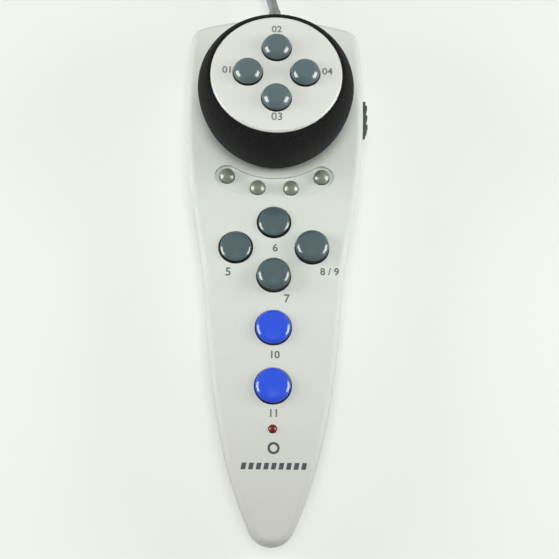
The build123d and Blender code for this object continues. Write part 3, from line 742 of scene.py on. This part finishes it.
TIE_BLACK = Webbing("tie_strap", (46, 47, 50), 0.9)
LABEL_INK = Ink("dark_label_ink", (88, 91, 92), 0.5)
FACE_INK = Ink("grey_face_ink", (112, 114, 112), 0.5)
BAR_INK = Ink("bar_ink", (50, 55, 62), 0.5)
LAMP_RED = Lens("red_lamp", (104, 14, 8), 0.3)
SCREW_STEEL = Metal("screw_steel", (168, 168, 164), 0.34)
SPRING_STEEL = Metal("spring_steel", (150, 152, 156), 0.3)
CONTACT_GOLD = Metal("contact_gold", (214, 178, 96), 0.25)
BOARD_GREEN = Circuit("board_lacquer", (28, 84, 48), 0.35)
NYLON_WHITE = Moulded("natural_nylon", (226, 222, 208), 0.45, clouds=0.02)
RUBBER_PALE = Moulded("silicone_rubber", (176, 178, 180), 0.6, clouds=0.03)
CHIP_BLACK = Moulded("chip_black", (30, 30, 32), 0.5)
SENSOR_BLUE = Moulded("sensor_shell", (58, 92, 150), 0.4)


# ---------------------------------------------------------------- studio: camera, light and floor

@dataclass(frozen=True)
class Lamp:
    """Square soft lamp, in metres and watts. A glint shows in gloss alone, and any other lamp in no gloss."""

    at: Place
    aim: Place
    size: float
    power: float
    tint: Colour
    glint: bool = False

    def hang(self, name: str, side: int = 1) -> None:
        """Hang the lamp, or its mirror image.

        Args:
            name: The lamp's name.
            side: 1 for its own side, and -1 for the other.
        """
        at = Vector((side * self.at[0], *self.at[1:]))
        bpy.ops.object.select_all(action="DESELECT")
        bpy.ops.object.light_add(type="AREA", location=at)
        lamp = bpy.context.object
        lamp.name = name
        lamp.rotation_euler = (Vector(self.aim) - at).to_track_quat("-Z", "Y").to_euler()
        lamp.data.shape = "SQUARE"
        lamp.data.size = self.size
        lamp.data.energy = self.power
        lamp.data.color = linear(self.tint)[:3]
        lamp.visible_glossy, lamp.visible_diffuse = self.glint, not self.glint


@dataclass
class Studio:
    """Camera at the photograph's place, soft lamps at the sides and above, a pale room and table. Metres."""

    camera_at: Place = (-0.007119, -0.149176, 0.404025)
    turns: Place = (-3.840372, 20.430761, 4.370966)
    lens: float = 67.62
    sensor: float = 36.0
    nearest: float = 0.01
    wash: Lamp = Lamp((0.46, 0.05, 0.22), (0, 0.02, 0.03), 0.24, 1.2, (255, 253, 248))
    glint: Lamp = Lamp((0.44, 0.0, 0.2), (0, 0.02, 0.03), 0.32, 5.6, (255, 255, 252), glint=True)
    upper: Lamp = Lamp((0, -0.12, 1.0), (0, 0.03, 0.0), 0.32, 5.2, (252, 254, 252))
    room_tint: tuple[float, float, float, float] = (0.975, 0.99, 0.985, 1.0)
    room_light: float = 0.3
    room_seen: float = 0.85
    dim_side: Place = (0.0, -0.94, 0.34)
    dim_light: float = 0.8
    floor_size: float = 3.0
    floor_y: float = 0.1
    floor_tint: Colour = (229, 232, 227)
    floor_clouds: float = 0.985
    floor_seen: Colour = (242, 245, 240)
    floor_lift: float = 0.42

    def camera(self) -> None:
        """Put the camera where the photograph was taken from."""
        bpy.ops.object.select_all(action="DESELECT")
        bpy.ops.object.camera_add()
        eye = bpy.context.object
        first, tilt, last = [radians(angle) for angle in self.turns]
        turn = Matrix.Rotation(first, 4, "Z") @ Matrix.Rotation(tilt, 4, "X") @ Matrix.Rotation(last, 4, "Z")
        eye.matrix_world = Matrix.Translation(self.camera_at) @ turn
        eye.data.lens = self.lens
        eye.data.sensor_width = self.sensor
        eye.data.clip_start = self.nearest
        bpy.context.scene.camera = eye

    def lights(self) -> None:
        """Hang a wash and a glint on each side and a lamp above, and light the room."""
        for side, word in ((-1, "left"), (1, "right")):
            self.wash.hang(f"{word}_lamp", side)
            self.glint.hang(f"{word}_glint", side)
        self.upper.hang("upper_lamp")
        self.room()

    def room(self) -> None:
        """Surround the object with a pale room that is brighter to look at than as light, and dimmer in front."""
        world = bpy.data.worlds.new("pale_room")
        bpy.context.scene.world = world
        mixer = Mixer(world)
        sight = mixer.add("ShaderNodeTexCoord", {}, "Generated")
        towards = mixer.add("ShaderNodeVectorMath", {0: sight, 1: self.dim_side}, "Value", operation="DOT_PRODUCT")
        dim = mixer.spread(towards, low=0.1, high=0.95, to_low=1.0, to_high=self.dim_light)
        level = mixer.spread(mixer.seen(), 0.0, 1.0, self.room_light, self.room_seen)
        background = mixer.tree.nodes["Background"]
        mixer.set(background.inputs["Color"], self.room_tint)
        mixer.set(background.inputs["Strength"], mixer.sum("MULTIPLY", dim, level))

    def floor(self) -> None:
        """Lay a pale table top that keeps the object's shadow."""
        bpy.ops.object.select_all(action="DESELECT")
        bpy.ops.mesh.primitive_plane_add(size=self.floor_size, location=(0, self.floor_y, 0))
        table = bpy.context.object
        table.name = "table_top"
        paint = bpy.data.materials.new("table_paint")
        mixer = Mixer(paint)
        base, darker = linear(self.floor_tint), linear(self.floor_tint, self.floor_clouds)
        faint = mixer.clouds(per_metre=14, detail=3.0)
        mixer.shade(Base_Color=mixer.blend(faint, darker, base), Roughness=0.9, Specular_IOR_Level=0.1)
        white = mixer.add("ShaderNodeEmission", {"Color": linear(self.floor_seen), "Strength": 1.0})
        share = mixer.sum("MULTIPLY", mixer.seen(), self.floor_lift)
        both = mixer.add("ShaderNodeMixShader", {0: share, 1: mixer.shader.outputs[0], 2: white})
        mixer.set(mixer.tree.nodes["Material Output"].inputs["Surface"], both)
        table.data.materials.append(paint)
        settle(table)


# ---------------------------------------------------------------- cord, its relief, hank, tie and plug

@dataclass
class Relief:
    """Strain relief: a neck in the end wall between two collars, and a ribbed tail that tapers. Millimetres."""

    at: Place = (0.0, 107.5, 15.0)
    neck: float = 3.6
    neck_from: float = -2.4
    neck_to: float = 0.05
    collar: float = 4.7
    collar_thick: float = 1.6
    tip: float = 2.45
    end: float = 12.6
    ribs: int = 3
    rib_lip: float = 0.1
    slot_depth: float = 0.45
    slot_foot: float = 0.4
    slot_mouth: float = 0.55
    edge: float = 0.12
    sides: int = 48

    def build(self) -> bpy.types.Object:
        """Model the relief about the upright axis, and lay it in the wall.

        Returns:
            The relief.
        """
        start, back = self.collar_thick, self.neck_from - self.collar_thick
        outline = [(0, back), (self.collar, back), (self.collar, self.neck_from), (self.neck, self.neck_from),
                   (self.neck, self.neck_to), (self.collar, self.neck_to), (self.collar, start), (self.neck, start)]
        for index in range(1, self.ribs + 1):
            middle = start + (self.end - start) * index / (self.ribs + 1)
            radius = self.neck + (self.tip - self.neck) * (middle - start) / (self.end - start)
            outline += [(radius + self.rib_lip, middle - self.slot_mouth),
                        (radius - self.slot_depth, middle - self.slot_foot),
                        (radius - self.slot_depth, middle + self.slot_foot),
                        (radius - self.rib_lip, middle + self.slot_mouth)]
        outline += [(self.tip, self.end), (0, self.end)]
        sleeve = turned("relief_sleeve", outline, self.sides)
        broken(sleeve, self.edge)
        settle(sleeve, self.at, (-90, 0, 0))
        return dressed(smooth(sleeve), Body.HOUSING.value, "relief", RELIEF_GREY, "strain_relief")


@dataclass
class Lead:
    """Cord from the end wall down to the table, into a tied hank with the plug at its end. Millimetres.

    The hank's half turns begin at near and far along it, and its two layers lie at low and high.
    """

    thickness: float = 4.2
    length: float = 1804.0
    exit: Place = (0.0, 120.1, 15.0)
    route: tuple[Place, ...] = ((-2.6, 130.0, 15.0), (-5.6, 144.5, 10.0), (-7.95, 158.5, 2.7), (-7.95, 173.5, 2.7))
    hank_x: float = 19.0
    hank_outer: float = 26.95
    pitch: float = 4.75
    near: float = 173.5
    far: float = 248.0
    low: float = 2.7
    high: float = 7.45
    loops: int = 3
    plug_at: float = 279.15
    hold: float = 1.5
    turn_points: int = 6
    spline_order: int = 3
    spline_steps: int = 10
    round_steps: int = 5
    tie_edge: float = 0.15
    plug_edge: float = 0.5

    def half_turn(self, start: float, end: float, y: float, z: float) -> list[Place]:
        """Points of the cord's own spline round one end of the hank.

        Args:
            start: Where the run that comes in stands, across the hank.
            end: Where the run that goes out stands.
            y: Where the half turn begins along the hank.
            z: Height of its layer.

        Returns:
            The points, the first in line with the run that comes in.
        """
        reach, middle = (end - start) / 2, (start + end) / 2
        outwards = 1 if y == self.far else -1
        step = pi / self.turn_points
        points = []
        for index in range(self.turn_points):
            angle = (index + 0.5) * step
            points.append((self.hank_x + middle - reach * cos(angle) / cos(step / 2),
                           y + outwards * abs(reach) * sin(angle) / cos(step / 2), z))
        return points

    def wound(self) -> list[Place]:
        """Wind the hank: loops inwards on the table, a climb, and loops outwards on top.

        Returns:
            The spline's points.
        """
        mid_y = (self.near + self.far) / 2
        left = -self.hank_outer
        points: list[Place] = []
        for _ in range(self.loops):
            right = -left - self.pitch / 2
            points.append((left + self.hank_x, mid_y, self.low))
            points += self.half_turn(left, right, self.far, self.low)
            points.append((right + self.hank_x, mid_y, self.low))
            left += self.pitch
            points += self.half_turn(right, left, self.near, self.low)
        points.append((left + self.hank_x, mid_y, (self.low + self.high) / 2))
        for _ in range(self.loops):
            right = -left + self.pitch / 2
            points += self.half_turn(left, right, self.far, self.high)
            points.append((right + self.hank_x, mid_y, self.high))
            left -= self.pitch
            points += self.half_turn(right, left, self.near, self.high)
            points.append((left + self.hank_x, mid_y, self.high))
        return [*points, (left + self.hank_x, self.plug_at + self.hold, self.high)]

    def cord(self) -> bpy.types.Object:
        """Lay the cord as one smooth spline from the relief to the plug.

        Returns:
            The cord.
        """
        points = [self.exit, *self.route, *self.wound()]
        curve = bpy.data.curves.new("cord_line", "CURVE")
        curve.dimensions = "3D"
        spline = curve.splines.new("NURBS")
        spline.points.add(len(points) - 1)
        for point, spot in zip(spline.points, points):
            point.co = (*[value * MM for value in spot], 1.0)
        spline.order_u = self.spline_order
        spline.use_endpoint_u = True
        curve.resolution_u = self.spline_steps
        curve.bevel_depth = self.thickness / 2 * MM
        curve.bevel_resolution = self.round_steps
        curve.use_fill_caps = True
        cord = bpy.data.objects.new("lead_cord", curve)
        bpy.context.scene.collection.objects.link(cord)
        return dressed(cord, Body.HOUSING.value, "cord", CORD_GREY, "cord", "cord_hank")

    def build(self) -> None:
        """Make the cord with its relief, tie and plug."""
        cord = self.cord()
        relief = Relief().build()
        tie = skin("cord_tie", "hank_tie")
        broken(tie, self.tie_edge)
        dressed(smooth(tie), Body.HOUSING.value, "tie", TIE_BLACK, "cord_tie")
        plug = skin("plug", "lead_plug")
        broken(plug, self.plug_edge, segments=3)
        dressed(smooth(plug, weighted=True), Body.HOUSING.value, "plug", PLUG_GREY, "plug")


# ---------------------------------------------------------------- case and its prints

@dataclass(frozen=True)
class Figures:
    """Plain figures printed beside a button. Millimetres."""

    name: str
    text: str
    x: float
    y: float
    size: float
    bold: float = 0.08
    ink: float = 0.03

    def model(self, height: float, tilt: float = 0.0) -> bpy.types.Object:
        """Model the print as a thin layer.

        Args:
            height: Height of the surface that it lies on.
            tilt: Slope of that surface in degrees about X.

        Returns:
            The print.
        """
        bpy.ops.object.select_all(action="DESELECT")
        bpy.ops.object.text_add()
        text = bpy.context.object
        text.name = self.name
        text.data.body = self.text
        text.data.size = self.size * MM
        text.data.align_x = text.data.align_y = "CENTER"
        text.data.extrude = self.ink * MM
        text.data.offset = self.bold * MM
        bpy.ops.object.convert(target="MESH")
        return settle(bpy.context.object, (self.x, self.y, height), (tilt, 0, 0))


@dataclass
class CaseShells:
    """Upper and lower half of the case, the prints on it and the lamp. Millimetres."""

    top: float = 29.0
    slope_y: float = -62.0
    tip_y: float = -107.5
    tip_fall: float = 7.0
    parting: float = 15.0
    groove: float = 0.2
    wall_lean: float = 0.4
    lamp_y: float = -67.5
    lamp_radius: float = 1.6
    lamp_top: float = 30.1
    lamp_collar: Range = (25.21, 26.36)
    collar_width: float = 0.4
    leg_x: float = 1.0
    leg_width: float = 0.5
    leg_low: float = 19.2
    leg_sunk: float = 0.2
    ink: float = 0.03
    labels: tuple[Figures, ...] = (
        Figures("label_left", "5", -17.4, -7.0, 4.6), Figures("label_far", "6", 0.5, 3.1, 4.3),
        Figures("label_right", "8 / 9", 21.4, -6.5, 4.0), Figures("label_near", "7", 5.0, -17.6, 4.6),
        Figures("label_start", "10", 0.5, -39.7, 4.0), Figures("label_set", "11", 0.3, -61.8, 4.0))
    bar_at: Ring = (-10.6, -80.8)
    bar_count: int = 9
    bar_pitch: float = 2.72
    bar_width: float = 1.7
    bar_height: float = 2.4
    bar_slant: float = 0.5
    bar_rounding: float = 0.3
    ring_at: Ring = (0.4, -74.4)
    ring_radius: float = 2.2
    ring_width: float = 0.9

    def surface(self, y: float) -> float:
        """Height of the top, which is level and then falls to the tip in an arc.

        Args:
            y: The place along the case.

        Returns:
            The height.
        """
        if y >= self.slope_y:
            return self.top
        run = self.slope_y - self.tip_y
        bow = (run**2 + self.tip_fall**2) / (2 * self.tip_fall)
        return self.top - bow + sqrt(bow**2 - (self.slope_y - y) ** 2)

    def tilt(self, y: float) -> float:
        """Fall of the top over the millimetre round a place, in degrees about X."""
        return degrees(asin(self.surface(y + 0.5) - self.surface(y - 0.5)))

    def bars(self) -> None:
        """Print a plain row of slanted bars."""
        half, high, (start, y) = self.bar_width / 2, self.bar_height / 2, self.bar_at
        pieces = []
        for index in range(self.bar_count):
            bar = slab(f"bar_{index}", (-half, -high, -self.ink), (half, high, self.ink))
            with editing(bar, Part.VERTS):
                mark(bar, Part.VERTS, lambda middle: middle.y > 0)
                bpy.ops.transform.translate(value=(self.bar_slant * MM, 0, 0))
            soften(bar, self.bar_rounding, segments=3, test=lambda middle: abs(middle.z) < ON_PLANE)
            pieces.append(settle(bar, (start + index * self.bar_pitch, y, self.surface(y)), (self.tilt(y), 0, 0)))
        row = joined(*pieces)
        row.name = "print_bars"
        dressed(row, Body.HOUSING.value, "case_top", BAR_INK)

    def ring(self) -> None:
        """Print a plain ring above the bars."""
        x, y = self.ring_at
        outer, inner = self.ring_radius, self.ring_radius - self.ring_width
        ring = turned("print_ring", [(outer, -self.ink), (outer, self.ink), (inner, self.ink),
                                     (inner, -self.ink), (outer, -self.ink)], sides=48)
        settle(ring, (x, y, self.surface(y)), (self.tilt(y), 0, 0))
        dressed(ring, Body.HOUSING.value, "case_top", BAR_INK)

    def outer_edge(self, edge: bmesh.types.BMEdge) -> bool:
        """Tell whether an edge is the outer one where the shells meet.

        Args:
            edge: An edge of either shell.

        Returns:
            True for a convex edge at the parting, beside a steep face that looks outwards.
        """
        if not edge.is_convex or any(abs(vert.co.z - self.parting * MM) >= ON_PLANE for vert in edge.verts):
            return False
        middle = (edge.verts[0].co + edge.verts[1].co) / 2
        return any(abs(face.normal.z) < self.wall_lean and face.normal.xy.dot(middle.xy) > 0
                   for face in edge.link_faces)

    def seam(self, shell: bpy.types.Object) -> None:
        """Break a shell's outer edge where the two meet, so that a fine groove runs round the case.

        Args:
            shell: The upper or the lower shell.
        """
        with editing(shell, Part.EDGES):
            bpy.ops.mesh.select_all(action="DESELECT")
            mesh = bmesh.from_edit_mesh(shell.data)
            outer = [edge for edge in mesh.edges if self.outer_edge(edge)]
            for edge in outer:
                edge.select_set(True)
            mesh.select_flush(True)
            bmesh.update_edit_mesh(shell.data)
            bpy.ops.mesh.bevel(offset=self.groove * MM, segments=1, affect="EDGES", clamp_overlap=False)
        log.info("%s has a groove along %d edges", shell.name, len(outer))

    def shells(self) -> None:
        """Dress the two shells, with the groove between them."""
        upper, lower = skin("top_case", "case_upper"), skin("bottom_case", "case_lower")
        for shell in (upper, lower):
            self.seam(shell)
            smooth(shell, crease=30, weighted=True)
        dressed(upper, Body.HOUSING.value, "case_top", CASE_SILVER, "top_case")
        dressed(lower, Body.HOUSING.value, "case_bottom", CASE_UNDER, "bottom_case")

    def lamp(self) -> None:
        """Model the lamp: a round-headed body, its collar under the top and two legs."""
        low, collar = self.lamp_collar
        wide, half = self.lamp_radius + self.collar_width, self.leg_width / 2
        head = crown(self.lamp_radius, self.lamp_top - self.lamp_radius, self.lamp_radius, self.lamp_radius / 4)
        body = [(0, low), (wide, low), (wide, collar), (self.lamp_radius, collar)]
        lamp = turned("lamp_dome", [*body, *head], sides=40)
        legs = [slab("leg", (x - half, -half, self.leg_low), (x + half, half, low + self.leg_sunk))
                for x in (-self.leg_x, self.leg_x)]
        settle(joined(lamp, *legs), (0, self.lamp_y, 0))
        dressed(smooth(lamp), Body.HOUSING.value, "lamp", LAMP_RED, "status_lamp")

    def build(self) -> None:
        """Make the shells, the lamp and the prints."""
        self.shells()
        self.lamp()
        for label in self.labels:
            figures = label.model(self.surface(label.y), self.tilt(label.y))
            dressed(figures, Body.HOUSING.value, "case_top", LABEL_INK)
        self.bars()
        self.ring()


# ---------------------------------------------------------------- buttons

@dataclass
class Cap:
    """One kind of button: a domed cap with a rounded rim, key tabs and a stem. Millimetres."""

    kind: str
    slot: str
    finish: Finish
    radius: float
    rim: float
    dome: float
    foot: float
    stem_low: float
    rounding: float
    places: tuple[tuple[str, float, float], ...]
    side: Finish | None = None
    shade_below: float = 0.0
    tab: float = 1.0
    tab_width: float = 3.0
    flange: float = 1.2
    stem: float = 4.0
    edge: float = 0.12
    sides: int = 72

    def model(self) -> bpy.types.Object:
        """Model the cap at the origin.

        Returns:
            The cap with its tabs and stem.
        """
        outline = [(0, self.foot), (self.radius, self.foot),
                   *crown(self.radius, self.rim, self.dome, self.rounding)]
        cap = turned(f"{self.kind}_model", outline, self.sides)
        tabs = slab("tabs", (-self.radius - self.tab, -self.tab_width / 2, self.foot),
                    (self.radius + self.tab, self.tab_width / 2, self.foot + self.flange))
        stem = slab("stem", (-self.stem / 2, -self.stem / 2, self.stem_low),
                    (self.stem / 2, self.stem / 2, self.foot))
        for block in (tabs, stem):
            broken(block, self.edge)
        return smooth(joined(cap, tabs, stem))

    def build(self) -> None:
        """Model the cap once and set a copy at each place, with painted shade in a near-black finish on its side wall.
        """
        model = self.model()
        for node, x, y in self.places:
            cap = twin(model, f"cap_{node}", (x, y, 0))
            dressed(cap, node, self.slot, self.finish, node)
            # Painted shade: faces low on the cap take the near-black side finish.
            if self.side:
                second(cap, self.side, lambda middle: middle.z < self.shade_below * MM)
        bpy.data.objects.remove(model)


FACE_CIRCLE = 10.85  # how far the four buttons stand from the wheel's axis, in millimetres
CAPS: tuple[Cap, ...] = (
    Cap("face_cap", "face_button", SLATE_GLOSS, radius=5.58, rim=61.9, dome=1.2, foot=55.65, stem_low=53.5,
        rounding=3.6, places=(("face_button_near", 0, WHEEL_Y - FACE_CIRCLE),
                              ("face_button_right", FACE_CIRCLE, WHEEL_Y),
                              ("face_button_far", 0, WHEEL_Y + FACE_CIRCLE),
                              ("face_button_left", -FACE_CIRCLE, WHEEL_Y)),
        side=SLATE_SIDE_SHADE, shade_below=59.7),
    Cap("low_cap", "main_button", SLATE_DARK, radius=6.43, rim=30.2, dome=1.1, foot=25.55, stem_low=22.6,
        rounding=2.2, places=(("main_button_far", 0, 13.9), ("main_button_left", -14.7, 3.2)),
        side=SLATE_SIDE_SHADE, shade_below=29.9),
    Cap("tall_cap", "main_button", SLATE_DARK, radius=6.43, rim=33.2, dome=1.3, foot=25.55, stem_low=24.9,
        rounding=2.5, places=(("main_button_right", 14.7, 3.2), ("main_button_near", 0, -8.4)),
        side=SLATE_SIDE_SHADE, shade_below=32.0),
    Cap("blue_cap", "blue_button", BLUE_GLOSS, radius=6.73, rim=31.0, dome=0.9, foot=25.55, stem_low=22.9,
        rounding=2.3, places=(("start_button", 0, -29.0), ("set_button", 0, -51.5)),
        side=BLUE_SIDE_SHADE, shade_below=30.0),
)


@dataclass
class Pegs:
    """Four small buttons in the trough. Millimetres."""

    circle: float = 34.4
    angles: tuple[float, ...] = (-33.0, -11.0, 11.0, 33.0)
    radius: float = 3.0
    rim: float = 29.6
    dome: float = 1.7
    foot: float = 24.05
    stem_low: float = 22.6
    rounding: float = 0.6

    def build(self) -> None:
        """Set one model of the peg at each of its four places."""
        turns = [radians(angle) for angle in self.angles]
        places = tuple((f"arc_button_{number}", self.circle * sin(turn), WHEEL_Y - self.circle * cos(turn))
                       for number, turn in enumerate(turns, 1))
        Cap("peg", "arc_button", PEG_GREY, self.radius, self.rim, self.dome, self.foot, self.stem_low,
            self.rounding, places).build()


# ---------------------------------------------------------------- steering wheel

@dataclass
class SteeringWheel:
    """Foam tyre, silver face and drum of the wheel, with the figures printed on its face. Millimetres."""

    face: float = 58.9
    lip: Ring = (26.3, 58.3)
    widest: Ring = (30.2, 48.9)
    foot: Ring = (25.6, 29.7)
    skirt: float = 23.65
    flange_top: float = 31.45
    seat: float = 25.2
    bore: float = 21.05
    ledge: float = 56.85
    upper_steps: int = 20
    lower_steps: int = 30
    sides: int = 320
    cell: float = 0.7
    cell_depth: float = 0.12
    labels: tuple[Figures, ...] = (
        Figures("face_label_far", "02", 0.0, 81.7, 4.0), Figures("face_label_left", "01", -18.6, 63.4, 4.0),
        Figures("face_label_right", "04", 19.3, 63.4, 4.0), Figures("face_label_near", "03", 0.3, 43.7, 4.4))

    def tyre(self) -> None:
        """Model the foam tyre and rough its skin."""
        upper = swell(self.widest, self.lip, self.upper_steps)
        lower = swell(self.widest, self.foot, self.lower_steps)
        outline = [*reversed(upper), *lower[1:], (self.skirt, self.foot[1]), (self.skirt, self.flange_top),
                   (self.bore, self.flange_top), (self.bore, self.ledge), (self.seat, self.ledge),
                   (self.seat, self.lip[1]), self.lip]
        tyre = turned("foam_tyre", outline, self.sides)
        cells = bpy.data.textures.new("foam_cells", "CLOUDS")
        cells.noise_scale = self.cell * MM
        cells.noise_depth = 2
        with_modifier(tyre, "DISPLACE", texture=cells, texture_coords="LOCAL", strength=self.cell_depth * MM,
                      mid_level=0.6)
        settle(tyre, (0, WHEEL_Y, 0))
        dressed(smooth(tyre, crease=60), Body.WHEEL.value, "tyre", TYRE_FOAM, "wheel_tyre")

    def plate_and_hub(self) -> None:
        """Dress the face plate and the drum."""
        plate = skin("face_plate", "wheel_face")
        dressed(smooth(plate, crease=30, weighted=True), Body.WHEEL.value, "face", FACE_SILVER, "face_plate")
        hub = skin("wheel_hub", "wheel_drum")
        dressed(smooth(hub, crease=30, weighted=True), Body.WHEEL.value, "hub", HUB_BLACK, "wheel_hub")

    def build(self) -> None:
        """Make the tyre, the face, the drum and the printed figures."""
        self.tyre()
        self.plate_and_hub()
        for label in self.labels:
            dressed(label.model(self.face), Body.WHEEL.value, "face", FACE_INK)


# ---------------------------------------------------------------- side switch and inner works

@dataclass
class SideSwitch:
    """Ridged slider on the right wall. Millimetres."""

    edge: float = 0.12

    def build(self) -> None:
        """Dress the knob with broken edges."""
        knob = skin("switch_knob", "switch_slider")
        broken(knob, self.edge)
        dressed(smooth(knob), Body.KNOB.value, "knob", KNOB_DARK, "switch_knob")


@dataclass
class Works:
    """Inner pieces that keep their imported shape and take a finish."""

    finishes: dict[str, Finish] = field(default_factory=lambda: {
        "case_screws": SCREW_STEEL, "board_screws": SCREW_STEEL, "face_screws": SCREW_STEEL,
        "steering_bush": NYLON_WHITE, "main_board": BOARD_GREEN, "face_board": BOARD_GREEN,
        "board_components": CHIP_BLACK, "button_sheet": RUBBER_PALE, "face_sheet": RUBBER_PALE,
        "angle_sensor": SENSOR_BLUE, "sensor_spindle": SCREW_STEEL, "pinion": NYLON_WHITE,
        "sector_gear": NYLON_WHITE, "centring_spring": SPRING_STEEL, "retaining_clip": SPRING_STEEL,
        "wheel_lead": CORD_GREY, "switch_body": CHIP_BLACK, "plug_contacts_row": CONTACT_GOLD})

    def build(self) -> None:
        """Give each kept node its finish."""
        for node, finish in self.finishes.items():
            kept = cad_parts[node]
            for held in kept.material_slots:
                held.material = finish.material()
            log.info("%s keeps its shape, finish %s", node, finish.name)


def main() -> None:
    """Build the studio and every sub-assembly in order."""
    logging.basicConfig(level=logging.INFO, format="%(name)s: %(message)s")
    studio = Studio()
    studio.camera()
    Lead().build()
    CaseShells().build()
    SteeringWheel().build()
    for cap in CAPS:
        cap.build()
    Pegs().build()
    SideSwitch().build()
    Works().build()
    studio.lights()
    studio.floor()
    bpy.context.scene.view_settings.view_transform = "Standard"
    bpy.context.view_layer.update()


if __name__ == "__main__":
    main()
